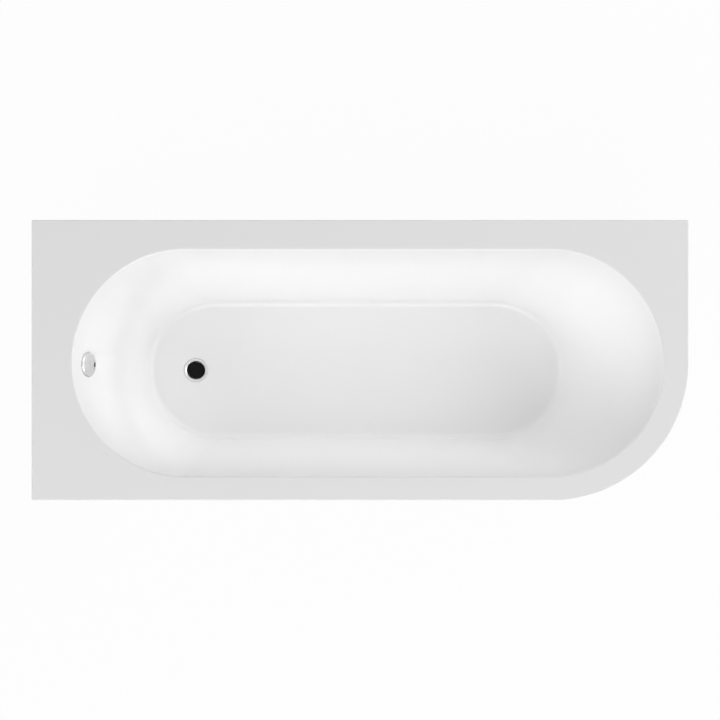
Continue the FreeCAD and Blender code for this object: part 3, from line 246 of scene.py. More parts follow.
CELLS = {Pattern.SPANGLE, Pattern.FLAKES}
GRAINS = {Pattern.GRAIN_X, Pattern.GRAIN_Y}
RAISED = GRAINS | {Pattern.FIBRES, Pattern.FLAKES}
FLAKE_STRETCH = 1.6
GRAIN_STRETCH = 0.06
STRETCHES = {
    Pattern.FLAKES: (1.0, FLAKE_STRETCH, 1.0),
    Pattern.GRAIN_X: (GRAIN_STRETCH, 1.0, 1.0),
    Pattern.GRAIN_Y: (1.0, GRAIN_STRETCH, 1.0),
}
UNSTRETCHED = (1.0, 1.0, 1.0)
CLOUD_DETAIL = 5.0
CLOUD_SWIRL = 0.6
GRAIN_RINGS = 26.0
RING_SHARE = 0.55
STRAND_TURNS = (0.2, 1.1, 2.0, 2.7)
STRAND_TILTS = Vector((1.0, 1.7, 0.6))
STRAND_STRETCH = (14.0, 1.0, 1.0)
STRAND_DETAIL = 2.0
STRAND_CONTRAST = 7.0
STRAND_CUT = 3.7
RELIEF_DETAIL = 3.0
RAISED_SHARE = 0.7
# Where the Mix node has its colours: two inputs and an output.
FIRST_TONE, SECOND_TONE, MIXED_TONE = 6, 7, 2


@dataclass(frozen=True)
class Finish:
    """One material of the bath."""

    name: str
    slot: str
    tone: Colour
    drift: Colour
    pattern: Pattern = Pattern.CLOUD
    pattern_size: float = 0.05
    rough: tuple[float, float] = (0.3, 0.4)
    metal: float = 0.0
    bump: float = 0.00002
    bump_size: float = 0.002
    gloss: float = 0.5

    def spread(self, wiring: Wiring) -> Term:
        """Wire the pattern.

        Args:
            wiring: The material's tree.

        Returns:
            The place between the two tones at each point, from 0 to 1.
        """
        place = wiring.place()
        if self.pattern is Pattern.FIBRES:
            return self.fibres(wiring, place)
        stretch = STRETCHES.get(self.pattern, UNSTRETCHED)
        place = wiring.add("ShaderNodeMapping", {"Vector": place, "Scale": stretch}).outputs[0]
        if self.pattern in CELLS:
            feeds = {"Vector": place, "Scale": 1.0 / self.pattern_size, "Randomness": 1.0}
            cells = wiring.add("ShaderNodeTexVoronoi", feeds)
            tones = wiring.add("ShaderNodeSeparateColor", {0: cells.outputs["Color"]})
            return Term(wiring, tones.outputs[0])
        share = wiring.noise(place, self.pattern_size, CLOUD_DETAIL, CLOUD_SWIRL)
        if self.pattern not in GRAINS:
            return share
        rings = (share * GRAIN_RINGS).sine() * 0.5 + 0.5
        return share.towards(rings, RING_SHARE)

    def fibres(self, wiring: Wiring, place: Socket) -> Term:
        """Wire strands that cross each other in several directions.

        Args:
            wiring: The material's tree.
            place: Where each point lies.

        Returns:
            How strongly a strand shows at each point.
        """
        strands = None
        for turn in STRAND_TURNS:
            mapped = wiring.add(
                "ShaderNodeMapping",
                {"Vector": place, "Rotation": STRAND_TILTS * turn, "Scale": STRAND_STRETCH},
                vector_type="TEXTURE",
            )
            streak = wiring.noise(mapped.outputs[0], self.pattern_size, STRAND_DETAIL)
            sharp = streak * STRAND_CONTRAST - STRAND_CUT
            strands = sharp if strands is None else wiring.math("MAXIMUM", strands, sharp)
        return strands.held()

    def toned(self, wiring: Wiring, spread: Term) -> Socket:
        """Wire the colour.

        Args:
            wiring: The material's tree.
            spread: The place between the two tones at each point.

        Returns:
            The colour at each point.
        """
        feeds = {"Factor": spread, FIRST_TONE: (*self.tone, 1.0), SECOND_TONE: (*self.drift, 1.0)}
        return wiring.add("ShaderNodeMix", feeds, data_type="RGBA").outputs[MIXED_TONE]

    def material(self) -> bpy.types.Material:
        """The material, made on its first use.

        Returns:
            A node material with drifting tone, roughness and relief.
        """
        known = bpy.data.materials.get(self.name)
        if known:
            return known
        made = bpy.data.materials.new(self.name)
        made.use_nodes = True
        wiring = Wiring(made.node_tree)
        spread = self.spread(wiring)
        relief = wiring.noise(wiring.place(), self.bump_size, RELIEF_DETAIL)
        if self.pattern in RAISED:
            relief = relief.towards(spread, RAISED_SHARE)
        bump = wiring.add("ShaderNodeBump", {"Height": relief, "Distance": self.bump, "Strength": 1.0})
        looks = {
            "Base Color": self.toned(wiring, spread),
            "Roughness": spread * (self.rough[1] - self.rough[0]) + self.rough[0],
            "Normal": bump.outputs[0],
            "Metallic": self.metal,
            "Specular IOR Level": self.gloss,
        }
        shader = made.node_tree.nodes["Principled BSDF"]
        for label, value in looks.items():
            wiring.feed(shader.inputs[label], value)
        return made


@dataclass(frozen=True)
class Acrylic(Finish):
    """White acrylic with painted shade: its flat rim is painted a little greyer than the walls, standing in
    for the rim catching less light than the walls.
    """

    # Heights over which the rim's painted shade comes in, and how strong it is.
    painted_shade_start: float = 0.5575
    painted_shade_stop: float = 0.5596
    rim_painted_shade: float = 0.225

    def toned(self, wiring: Wiring, spread: Term) -> Socket:
        """Wire the colour, with painted shade that makes it greyer towards the rim's height.

        Args:
            wiring: The material's tree.
            spread: The place between the two tones at each point.

        Returns:
            The colour at each point.
        """
        height = wiring.height(wiring.place())
        # Painted shade: the colour is scaled darker over the rim's height.
        share = ((height - self.painted_shade_start) / (self.painted_shade_stop - self.painted_shade_start)).held()
        feeds = {0: super().toned(wiring, spread), "Scale": 1.0 - share * self.rim_painted_shade}
        return wiring.add("ShaderNodeVectorMath", feeds, operation="SCALE").outputs[0]


# Its flat rim carries painted shade, greyer than the walls.
ACRYLIC = Acrylic(
    "white_acrylic", "acrylic", (0.95, 0.95, 0.95), (0.935, 0.935, 0.935),
    pattern_size=0.22, rough=(0.16, 0.22), bump_size=0.012,
)
FIBRE_COAT = Finish(
    "rolled_fibre_coat", "fibre_coat", (0.58, 0.52, 0.36), (0.80, 0.77, 0.64),
    Pattern.FIBRES, 0.003, rough=(0.34, 0.55), bump=0.0006, bump_size=0.004,
)
CHIPBOARD = Finish(
    "raw_chipboard", "chipboard", (0.50, 0.36, 0.20), (0.74, 0.58, 0.38),
    Pattern.FLAKES, 0.003, rough=(0.7, 0.85), bump=0.0004,
)
TIMBER_X = Finish(
    "softwood_lengthwise", "timber", (0.66, 0.44, 0.22), (0.80, 0.62, 0.38),
    Pattern.GRAIN_X, 0.03, rough=(0.6, 0.75), bump=0.0003, bump_size=0.001,
)
TIMBER_Y = Finish(
    "softwood_crosswise", "timber", (0.66, 0.44, 0.22), (0.80, 0.62, 0.38),
    Pattern.GRAIN_Y, 0.03, rough=(0.6, 0.75), bump=0.0003, bump_size=0.001,
)
GALVANISED = Finish(
    "galvanised_sheet", "galvanised", (0.50, 0.52, 0.54), (0.64, 0.66, 0.68),
    Pattern.SPANGLE, 0.006, rough=(0.30, 0.44), metal=1.0, bump_size=0.003,
)
ZINC = Finish(
    "zinc_plate", "zinc", (0.60, 0.60, 0.58), (0.74, 0.74, 0.71),
    pattern_size=0.006, rough=(0.22, 0.38), metal=1.0, bump_size=0.0015,
)
PAD_PLASTIC = Finish(
    "moulded_pad_plastic", "pad_plastic", (0.030, 0.030, 0.033), (0.050, 0.050, 0.054),
    pattern_size=0.012, rough=(0.5, 0.65), bump=0.00006, bump_size=0.0012,
)
CLIP_PLASTIC = Finish(
    "moulded_clip_plastic", "clip_plastic", (0.80, 0.80, 0.77), (0.86, 0.86, 0.83),
    pattern_size=0.02, rough=(0.4, 0.5), bump=0.00003, bump_size=0.001,
)
CHROME = Finish(
    "polished_chrome", "chrome", (0.70, 0.70, 0.71), (0.76, 0.76, 0.77),
    pattern_size=0.03, rough=(0.24, 0.32), metal=1.0, bump=0.000002, bump_size=0.004,
)
PLUG_BLACK = Finish(
    "satin_plug_black", "plug_black", (0.006, 0.006, 0.006), (0.010, 0.010, 0.010),
    pattern_size=0.01, bump_size=0.0008, gloss=0.08,
)
RUBBER = Finish(
    "seal_rubber", "rubber", (0.022, 0.022, 0.022), (0.035, 0.035, 0.034),
    pattern_size=0.01, rough=(0.75, 0.9), bump=0.00005, bump_size=0.001,
)
BRASS = Finish(
    "turned_brass", "brass", (0.66, 0.47, 0.20), (0.76, 0.58, 0.28),
    pattern_size=0.006, rough=(0.2, 0.32), metal=1.0, bump=0.00001, bump_size=0.001,
)
FITTING_BLACK = Finish(
    "moulded_fitting_black", "fitting_black", (0.018, 0.018, 0.020), (0.032, 0.032, 0.034),
    pattern_size=0.02, rough=(0.36, 0.5), bump=0.00005, bump_size=0.0015,
)
PIPE_WHITE = Finish(
    "extruded_pipe_white", "pipe_white", (0.80, 0.80, 0.78), (0.85, 0.85, 0.83),
    pattern_size=0.04, bump=0.00003,
)


def add_object(name: str, data: bpy.types.ID) -> Piece:
    """Put a mesh, a lamp or a camera in the scene as an object at the origin.

    Args:
        name: The object's name.
        data: What it shows.

    Returns:
        The object.
    """
    added = bpy.data.objects.new(name, data)
    bpy.context.scene.collection.objects.link(added)
    return added


def piece_of(name: str, shape: Shape) -> Piece:
    """Turn a finished shape into an object.

    Args:
        name: The object's name.
        shape: The shape; it is used up.

    Returns:
        The object.
    """
    mesh = bpy.data.meshes.new(name)
    shape.to_mesh(mesh)
    shape.free()
    # Faces taken over from a dressed piece still hold the number of its material.
    mesh.materials.clear()
    return add_object(name, mesh)


def discard(pieces: Iterable[Piece]) -> None:
    """Remove helper objects with their meshes."""
    for piece in pieces:
        bpy.data.meshes.remove(piece.data)


@contextmanager
def reshaping(mesh: bpy.types.Mesh) -> Iterator[Shape]:
    """Open a mesh for changes and write them back.

    Args:
        mesh: The mesh.

    Yields:
        Its shape.
    """
    shape = bmesh.new()
    shape.from_mesh(mesh)
    yield shape
    shape.to_mesh(mesh)
    shape.free()


def settle(piece: Piece) -> Piece:
    """Make the piece's modifiers part of its mesh.

    Args:
        piece: A piece with modifiers.

    Returns:
        The same piece with a plain mesh.
    """
    graph = bpy.context.evaluated_depsgraph_get()
    mesh = bpy.data.meshes.new_from_object(piece.evaluated_get(graph))
    piece.modifiers.clear()
    former = piece.data
    mesh.name = piece.name
    piece.data = mesh
    bpy.data.meshes.remove(former)
    return piece


def keep(piece: Piece, finish: Finish, *nodes: str, body: str = BATH, even: bool = False) -> None:
    """Shade a finished piece smoothly up to its sharp edges and hand it to the frame.

    Args:
        piece: The piece, in place.
        finish: Its finish.
        nodes: The nodes that it stands for.
        body: The body that it moves with.
        even: Whether large faces keep their own direction up to their edges.
    """
    piece.data.polygons.foreach_set("use_smooth", [True] * len(piece.data.polygons))
    piece.data.set_sharp_from_angle(angle=SMOOTH_ANGLE)
    if even:
        weighted = piece.modifiers.new("even", "WEIGHTED_NORMAL")
        weighted.keep_sharp = True
        weighted.weight = EVEN_WEIGHT
        settle(piece)
    if not piece.data.materials:
        piece.data.materials.append(finish.material())
    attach(piece, body)
    if nodes:
        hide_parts(*nodes)
    LOG.info("%s: %d faces", piece.name, len(piece.data.polygons))


class Joining(Enum):
    """How a helper solid acts on a piece."""

    ADD = "UNION"
    CUT = "DIFFERENCE"


def carve(piece: Piece, tools: Sequence[tuple[Joining, Piece]]) -> Piece:
    """Join helper solids to a piece or cut them out of it.

    Args:
        piece: A closed piece.
        tools: The helper solids in order; they are used up.

    Returns:
        The same piece.
    """
    for way, tool in tools:
        modifier = piece.modifiers.new(tool.name, "BOOLEAN")
        modifier.object = tool
        modifier.operation = way.value
        modifier.solver = "EXACT"
    settle(piece)
    discard(tool for _, tool in tools)
    with reshaping(piece.data) as shape:
        bmesh.ops.remove_doubles(shape, verts=shape.verts, dist=WELD_DISTANCE)
        bmesh.ops.dissolve_degenerate(shape, edges=shape.edges, dist=WELD_DISTANCE)
    return piece


def quarter(steps: int, start: float = 0.0) -> list[float]:
    """The angles of a quarter turn in equal steps."""
    return [start + QUARTER * step / steps for step in range(steps + 1)]


def circle(radius: float, height: float, sides: int = ROUND_SIDES) -> list[Spot]:
    """Points round the Z axis.

    Args:
        radius: Their distance from the axis; 0 gives one point on it.
        height: Their height.
        sides: How many there are.

    Returns:
        The points in order.
    """
    if radius == 0.0:
        return [(0.0, 0.0, height)]
    angles = [math.tau * side / sides for side in range(sides)]
    return [(radius * math.cos(angle), radius * math.sin(angle), height) for angle in angles]


def bridge(
    shape: Shape, loops: Sequence[Sequence[Spot]], closed: bool = False
) -> list[list[bmesh.types.BMVert]]:
    """Add loops of points, each joined to the next by faces.

    Args:
        shape: The shape to add them to.
        loops: The points of each loop: one for a tip, the same number in all others.
        closed: Whether the last loop is joined to the first.

    Returns:
        The points added for each loop.
    """
    rings = [[shape.verts.new(spot) for spot in loop] for loop in loops]
    pairs = list(zip(rings, rings[1:]))
    if closed:
        pairs.append((rings[-1], rings[0]))
    for lower, upper in pairs:
        sides = max(len(lower), len(upper))
        for side in range(sides if sides > 1 else 0):
            after = (side + 1) % sides
            corners = [lower[side % len(lower)], lower[after % len(lower)]]
            corners += [upper[after % len(upper)], upper[side % len(upper)]]
            shape.faces.new(list(dict.fromkeys(corners)))
    return rings


def frame_at(spot: Vector, direction: Vector) -> Matrix:
    """A placement at a spot with its own Z along a direction."""
    return Matrix.Translation(spot) @ direction.to_track_quat("Z", "Y").to_matrix().to_4x4()


def lathe(
    name: str, profile: Profile, spot: Vector, direction: Vector = UP, sides: int = ROUND_SIDES
) -> Piece:
    """Turn a closed piece from a profile.

    Args:
        name: The piece's name.
        profile: Radius and height of each point; a radius of 0 is on the axis.
        spot: Where height 0 lies.
        direction: The way of the axis.
        sides: The number of faces round the axis.

    Returns:
        The turned piece.
    """
    shape = bmesh.new()
    hollow = profile[0][0] > 0.0 and profile[-1][0] > 0.0
    bridge(shape, [circle(radius, height, sides) for radius, height in profile], closed=hollow)
    bmesh.ops.recalc_face_normals(shape, faces=shape.faces)
    shape.transform(frame_at(spot, direction))
    return piece_of(name, shape)


def rod(
    name: str,
    spot: Vector,
    way: Vector,
    start: float,
    *steps: tuple[float, float],
    sides: int = ROUND_SIDES,
) -> Piece:
    """A round solid that changes its radius in steps.

    Args:
        name: The piece's name.
        spot: Where height 0 lies.
        way: The direction of its axis.
        start: The height at which it begins.
        steps: The radius of each step and the height at which it ends.
        sides: The number of faces round the axis.

    Returns:
        The closed solid.
    """
    profile: Profile = [(0.0, start)]
    for radius, stop in steps:
        profile += [(radius, profile[-1][1]), (radius, stop)]
    return lathe(name, [*profile, (0.0, profile[-1][1])], spot, way, sides)


def block(placement: Matrix) -> Shape:
    """A cube of unit size, put in place.

    Args:
        placement: Its place, turn and size.

    Returns:
        The cube's shape.
    """
    shape = bmesh.new()
    bmesh.ops.create_cube(shape, size=1.0)
    shape.transform(placement)
    return shape


def merged_copy(node: str) -> Shape:
    """Copy a node's mesh and join its loose triangles.

    Args:
        node: The node's name.

    Returns:
        The copy.
    """
    shape = bmesh.new()
    shape.from_mesh(bpy.data.objects[node].data)
    bmesh.ops.remove_doubles(shape, verts=shape.verts, dist=MERGE_DISTANCE)
    return shape


def islands(node: str) -> list[tuple[Vector, Vector]]:
    """Find the separate solids of a node.

    Args:
        node: The node's name.

    Returns:
        The lowest and highest corner of each solid.
    """
    shape = merged_copy(node)
    waiting = set(shape.verts)
    found = []
    while waiting:
        front = [waiting.pop()]
        spots = []
        while front:
            vertex = front.pop()
            spots.append(vertex.co.copy())
            near = {edge.other_vert(vertex) for edge in vertex.link_edges} & waiting
            waiting -= near
            front.extend(near)
        found.append((Vector(map(min, zip(*spots))), Vector(map(max, zip(*spots)))))
    shape.free()
    return sorted(found, key=lambda corners: tuple(corners[0]))


def round_edges(piece: Piece, width: float, steps: int = 2, angle: float = SMOOTH_ANGLE) -> None:
    """Round the sharp edges of a piece and settle it.

    Args:
        piece: The piece.
        width: How far each edge is rounded.
        steps: Faces across each rounded edge.
        angle: How sharp an edge has to be.
    """
    bevel = piece.modifiers.new("round", "BEVEL")
    bevel.width = width
    bevel.segments = steps
    bevel.limit_method = "ANGLE"
    bevel.angle_limit = angle
    settle(piece)


def soften(node: str, finish: Finish, width: float, steps: int = 2, body: str = BATH) -> None:
    """Stand in for a node by the same shape with its edges rounded.

    Args:
        node: The node's name.
        finish: The finish of the piece.
        width: How far each edge is rounded.
        steps: Faces across each rounded edge.
        body: The body that the piece moves with.
    """
    shape = merged_copy(node)
    bmesh.ops.dissolve_limit(shape, angle_limit=FLAT_ANGLE, verts=shape.verts, edges=shape.edges)
    piece = piece_of(f"{node}_dressed", shape)
    round_edges(piece, width, steps)
    keep(piece, finish, node, body=body, even=True)


class ShapeTree(Wiring):
    """A geometry node tree with named inputs that gives one material's mesh."""

    def __init__(
        self, name: str, sizes: Sequence[str], counts: Sequence[str] = (), on_points: bool = False
    ) -> None:
        """Start an empty tree.

        Args:
            name: The tree's name.
            sizes: Names of its inputs for lengths and angles.
            counts: Names of its inputs for whole numbers.
            on_points: Whether it works on the points of a mesh with a template object.
        """
        super().__init__(bpy.data.node_groups.new(name, "GeometryNodeTree"))
        kinds = {"Points": "NodeSocketGeometry", "Template": "NodeSocketObject"} if on_points else {}
        kinds |= {label: "NodeSocketFloat" for label in sizes}
        kinds |= {label: "NodeSocketInt" for label in counts}
        kinds["Material"] = "NodeSocketMaterial"
        for label, kind in kinds.items():
            self.tree.interface.new_socket(label, in_out="INPUT", socket_type=kind)
        self.tree.interface.new_socket("Geometry", in_out="OUTPUT", socket_type="NodeSocketGeometry")
        self.start = self.tree.nodes.new("NodeGroupInput")

    def size(self, label: str) -> Term:
        """One named input as a number."""
        return Term(self, self.start.outputs[label])

    def index(self) -> Term:
        """The number of each point."""
        return Term(self, self.add("GeometryNodeInputIndex").outputs[0])

    def grid(self, columns: Number, rows: Number) -> tuple[Socket, Term, Term]:
        """A grid of points to be moved into place.

        Args:
            columns: Points along the first way.
            rows: Points along the second way.

        Returns:
            The grid, and the column and row of each point.
        """
        grid = self.add("GeometryNodeMeshGrid", {"Vertices X": columns, "Vertices Y": rows})
        index = self.index()
        return grid.outputs["Mesh"], (index / rows).whole(), index % rows

    def line(self, count: int) -> Socket:
        """A row of points joined by edges."""
        return self.add("GeometryNodeMeshLine", {"Count": count}).outputs[0]

    def moved(self, geometry: Socket, place: Socket) -> Socket:
        """Geometry with its points set to a place."""
        return self.add("GeometryNodeSetPosition", {"Geometry": geometry, "Position": place}).outputs[0]

    def bent(self, row: Socket, radius: Number, steps: int) -> Socket:
        """A curve along a row of points with its corners rounded.

        Args:
            row: The row of points.
            radius: Radius of the corners.
            steps: Points added in each corner.

        Returns:
            The curve, its normals level.
        """
        curve = self.add("GeometryNodeMeshToCurve", {0: row}).outputs[0]
        feeds = {"Curve": curve, "Radius": radius, "Count": steps}
        fillet = self.add("GeometryNodeFilletCurve", feeds, mode="POLY")
        return self.add("GeometryNodeSetCurveNormal", {0: fillet.outputs[0]}, mode="Z_UP").outputs[0]

    def swept(self, path: Socket, section: Socket, capped: bool = False) -> Socket:
        """A section drawn along a path."""
        feeds = {"Curve": path, "Profile Curve": section, "Fill Caps": capped}
        return self.add("GeometryNodeCurveToMesh", feeds).outputs[0]

    def close(self, geometry: Socket) -> "ShapeTree":
        """End the tree in one welded, smooth mesh with its material.

        Args:
            geometry: What the tree has made.

        Returns:
            The finished tree.
        """
        real = self.add("GeometryNodeRealizeInstances", {0: geometry}).outputs[0]
        feeds = {"Geometry": real, "Distance": MERGE_DISTANCE}
        whole = self.add("GeometryNodeMergeByDistance", feeds).outputs[0]
        smooth = self.add("GeometryNodeSetShadeSmooth", {0: whole}).outputs[0]
        feeds = {"Geometry": smooth, "Material": self.start.outputs["Material"]}
        dressed = self.add("GeometryNodeSetMaterial", feeds).outputs[0]
        self.add("NodeGroupOutput", {"Geometry": dressed})
        return self

    def grow(
        self,
        name: str,
        finish: Finish,
        sizes: Mapping[str, float | int | Piece],
        points: bpy.types.Mesh | None = None,
    ) -> Piece:
        """Run the tree and keep its result as a plain mesh.

        Args:
            name: The piece's name.
            finish: The finish of the piece.
            sizes: The value of each named input.
            points: The mesh whose points the tree works on.

        Returns:
            The new piece.
        """
        piece = add_object(name, points or bpy.data.meshes.new(name))
        modifier = piece.modifiers.new("shape", "NODES")
        modifier.node_group = self.tree
        values = {**sizes, "Material": finish.material()}
        for item in self.tree.interface.items_tree:
            if item.in_out == "INPUT" and item.name in values:
                modifier[item.identifier] = values[item.name]
        return settle(piece)


def well_tree() -> ShapeTree:
    """Walls between a wide upper and a narrow lower long ring, rounded into the floor and the rim.

    Returns:
        The tree, which leaves the floor and the rim open.
    """
    tree = ShapeTree(
        "well_walls",
        (
            "Axis", "Floor left", "Floor right", "Floor radius", "Floor height",
            "Top left", "Top right", "Top radius", "Top height", "Crease", "Brim",
        ),
        ("Arc", "Straight", "Rows"),
    )
    crease_share, brim_share = 0.4, 0.25
    arc, straight, rows = tree.size("Arc"), tree.size("Straight"), tree.size("Rows")
    half = arc + straight
    mesh, column, row = tree.grid(half * 2.0 + 1.0, rows)

    rise = row / (rows - 1.0)
    low = (rise / crease_share).held()
    middle = ((rise - crease_share) / (1.0 - crease_share - brim_share)).held()
    high = ((rise - (1.0 - brim_share)) / brim_share).held()
    floor_radius, top_radius = tree.size("Floor radius"), tree.size("Top radius")
    floor_height, top_height = tree.size("Floor height"), tree.size("Top height")
    widening, depth = top_radius - floor_radius, top_height - floor_height
    slope = tree.math("SQRT", widening * widening + depth * depth)
    wall_start = tree.size("Crease") / slope
    wall_stop = 1.0 - tree.size("Brim") / slope

    def rounded(start: Term, corner: Term, stop: Term, share: Term) -> Term:
        """A curve that leaves one point and reaches another, drawn towards the corner between them.

        Args:
            start: Where it starts.
            corner: What it is drawn towards.
            stop: Where it stops.
            share: The share of the way at each point.

        Returns:
            The curve at each point.
        """
        rest = 1.0 - share
        return start * (rest * rest) + corner * (share * rest * 2.0) + stop * (share * share)

    def along(floor: Term, top: Term, inner: Term, outer: Term) -> Term:
        """One coordinate of the profile, from the floor over the wall to the rim.

        Args:
            floor: The coordinate where floor and wall would meet.
            top: The coordinate where wall and rim would meet.
            inner: The coordinate at the end of the floor.
            outer: The coordinate at the start of the rim.

        Returns:
            The coordinate at each point.
        """
        span = top - floor
        first = span * wall_start + floor
        last = span * wall_stop + floor
        crease = rounded(inner, floor, first, low)
        brim = rounded(last, top, outer, high)
        return crease + (last - first) * middle + (brim - last)

    radius = along(
        floor_radius, top_radius, floor_radius - tree.size("Crease"), top_radius + tree.size("Brim")
    )
    height = along(floor_height, top_height, floor_height, top_height)
    zero, one = tree.math("ADD", 0.0, 0.0), tree.math("ADD", 1.0, 0.0)
    lean = along(zero, one, zero, one)
    right = tree.size("Floor right").towards(tree.size("Top right"), lean)
    left = tree.size("Floor left").towards(tree.size("Top left"), lean)

    end = (column / half).whole()
    step = column % half
    far = end % 2.0
    angle = ((step / arc).held() - 0.5 + end) * math.pi
    run = ((step - arc) / straight).held()
    x = right.towards(left, far).towards(left.towards(right, far), run) + radius * angle.cosine()
    y = tree.size("Axis") + radius * angle.sine()
    return tree.close(tree.moved(mesh, tree.point(x, y, height)))


def sheet_tree() -> ShapeTree:
    """A bent sheet along the front, round the corner and along the end, its edges turned in.

    Returns:
        The tree, which gives the outer face of the sheet.
    """
    tree = ShapeTree(
        "bent_sheet",
        ("Left", "Right", "Front", "Back", "Corner", "Low", "High", "Low return", "High return", "Bend"),
    )
    corner_steps, bend_steps = 72, 5
    index = tree.index()
    first, second, third = index.held(), (index - 1.0).held(), (index - 2.0).held()
    x = tree.size("Left").towards(tree.size("Right"), first)
    y = tree.size("Front").towards(tree.size("Back"), second)
    path = tree.moved(tree.line(3), tree.point(x, y, 0.0))
    depth = tree.size("Low return") * (1.0 - first) + tree.size("High return") * third
    height = tree.size("Low").towards(tree.size("High"), second)
    section = tree.moved(tree.line(4), tree.point(depth * -1.0, height * -1.0, 0.0))
    return tree.close(
        tree.swept(
            tree.bent(path, tree.size("Corner"), corner_steps),
            tree.bent(section, tree.size("Bend"), bend_steps),
        )
    )


def pipe_tree() -> ShapeTree:
    """A round pipe through three points with its corner rounded.

    Returns:
        The tree, which gives a pipe with closed ends.
    """
    tree = ShapeTree(
        "bent_pipe", ("Start X", "Start Z", "Corner X", "End X", "Low", "Side", "Radius", "Bend")
    )
    sides, bend_steps = 40, 28
    index = tree.index()
    first, second = index.held(), (index - 1.0).held()
    x = tree.size("Start X").towards(tree.size("Corner X"), first).towards(tree.size("End X"), second)
    z = tree.size("Start Z").towards(tree.size("Low"), first)
    path = tree.moved(tree.line(3), tree.point(x, tree.size("Side"), z))
    feeds = {"Resolution": sides, "Radius": tree.size("Radius")}
    section = tree.add("GeometryNodeCurvePrimitiveCircle", feeds, mode="RADIUS").outputs["Curve"]
    return tree.close(tree.swept(tree.bent(path, tree.size("Bend"), bend_steps), section, capped=True))


def thread_tree() -> ShapeTree:
    """A screw thread about an upright axis, open at both ends.

    Returns:
        The tree.
    """
    tree = ShapeTree("screw_thread", ("X", "Y", "Low", "Root", "Crest", "Pitch"), ("Sides", "Rows"))
    sides, rows = tree.size("Sides"), tree.size("Rows")
    mesh, column, row = tree.grid(sides + 1.0, rows)
    turn = column / sides
    radius = tree.size("Crest").towards(tree.size("Root"), row % 2.0)
    angle = turn * math.tau
    x = tree.size("X") + radius * angle.cosine()
    y = tree.size("Y") + radius * angle.sine()
    z = tree.size("Low") + tree.size("Pitch") * (row * 0.5 + turn)
    return tree.close(tree.moved(mesh, tree.point(x, y, z)))


def scatter_tree() -> ShapeTree:
    """Copies of a template on points, each turned to the point's own direction.

    Returns:
        The tree.
    """
    tree = ShapeTree("fasteners", ("Spin",), on_points=True)
    template = tree.add("GeometryNodeObjectInfo", {"Object": tree.start.outputs["Template"]})
    way = tree.add("GeometryNodeInputNamedAttribute", {"Name": "direction"}, data_type="FLOAT_VECTOR")
    aim = tree.add("FunctionNodeAlignRotationToVector", {"Vector": way.outputs[0]}, axis="Z")
    turn = tree.point(0.0, 0.0, tree.index() * tree.size("Spin"))
    spin = tree.add("FunctionNodeEulerToRotation", {0: turn})
    feeds = {"Rotation": aim.outputs[0], "Rotate By": spin.outputs[0]}
    spun = tree.add("FunctionNodeRotateRotation", feeds, rotation_space="LOCAL")
    copies = tree.add(
        "GeometryNodeInstanceOnPoints",
        {
            "Points": tree.start.outputs["Points"],
            "Instance": template.outputs["Geometry"],
            "Rotation": spun.outputs[0],
        },
    )
    return tree.close(copies.outputs[0])


@dataclass(frozen=True)
class WoodScrew:
    """A round-headed screw with a cross in its head."""

    length: float
    radius: float = 0.0045
    head: float = 0.0025
    shank: float = 0.0022
    dome_steps: int = 6
    edge_share: float = 0.35
    arm_length_share: float = 1.1
    arm_width_share: float = 0.22
    arm_lift_share: float = 0.95

    def build(self) -> Piece:
        """Make the screw.

        Returns:
            The screw, pointing up at its head, whose flat face is at the origin.
        """
        edge = self.head * self.edge_share
        dome = [
            (self.radius * math.cos(a), edge + (self.head - edge) * math.sin(a))
            for a in quarter(self.dome_steps)[:-1]
        ]
        stem = [(0.0, -self.length), (self.shank, self.shank - self.length), (self.shank, 0.0)]
        profile = [*stem, (self.radius, 0.0), *dome, (0.0, self.head)]
        screw = lathe("screw", profile, Vector(), sides=SMALL_SIDES)
        length, width = self.radius * self.arm_length_share, self.radius * self.arm_width_share
        arm = Matrix.Translation(UP * self.head * self.arm_lift_share) @ Matrix.Diagonal(
            (length, width, self.head, 1.0)
        )
        cross = [Matrix.Rotation(turn, 4, "Z") @ arm for turn in (0.0, QUARTER)]
        return carve(screw, [(Joining.CUT, piece_of("arm", block(placement))) for placement in cross])


def hexagon(name: str, flats: float, height: float, bore: float = 0.0) -> Piece:
    """A hexagon nut, or a bolt head where the bore is 0, with its corners turned off.

    Args:
        name: The piece's name.
        flats: Width across the flats.
        height: Height from its lower face at the origin.
        bore: Radius of the hole.

    Returns:
        The piece.
    """
    sides, turned_share, lead_share = 48, 0.95, 0.12
    slope, sixth = math.tan(math.radians(30)), math.tau / 6
    turned, lead = flats / 2 * turned_share, bore * lead_share
    angles = [math.tau * side / sides for side in range(sides)]
    reaches = [flats / 2 / math.cos(angle % sixth - sixth / 2) for angle in angles]

    def corners(level: float, way: float) -> list[Spot]:
        """The loop on the flats next to the turned face at a level."""
        drops = [max(0.0, reach - turned) * slope * way for reach in reaches]
        return [(r * math.cos(a), r * math.sin(a), level + d) for a, r, d in zip(angles, reaches, drops)]

    loops = [circle(turned, 0.0, sides), corners(0.0, 1.0)]
    loops += [corners(height, -1.0), circle(turned, height, sides)]
    if bore:
        mouth = ((bore + lead, height), (bore, height - lead), (bore, lead), (bore + lead, 0.0))
        loops += [circle(radius, level, sides) for radius, level in mouth]
    shape = bmesh.new()
    rings = bridge(shape, loops, closed=bool(bore))
    if not bore:
        shape.faces.new(rings[0])
        shape.faces.new(rings[-1])
    bmesh.ops.recalc_face_normals(shape, faces=shape.faces)
    return piece_of(name, shape)


def heads(node: str, ways: Mapping[int, Vector], head: float) -> list[tuple[Vector, Vector]]:
    """Where the heads of a node's fasteners sit.

    Args:
        node: The node's name.
        ways: The direction that a head points in, by the axis along which its fastener is longest.
        head: Height of a head.

    Returns:
        The middle of the face under each head, and the head's direction.
    """
    places = []
    for low, high in islands(node):
        reach = (high - low) / 2
        way = ways[max(range(3), key=lambda axis: reach[axis])]
        places.append(((low + high) / 2 + way * (abs(way.dot(reach)) - head), way))
    return places


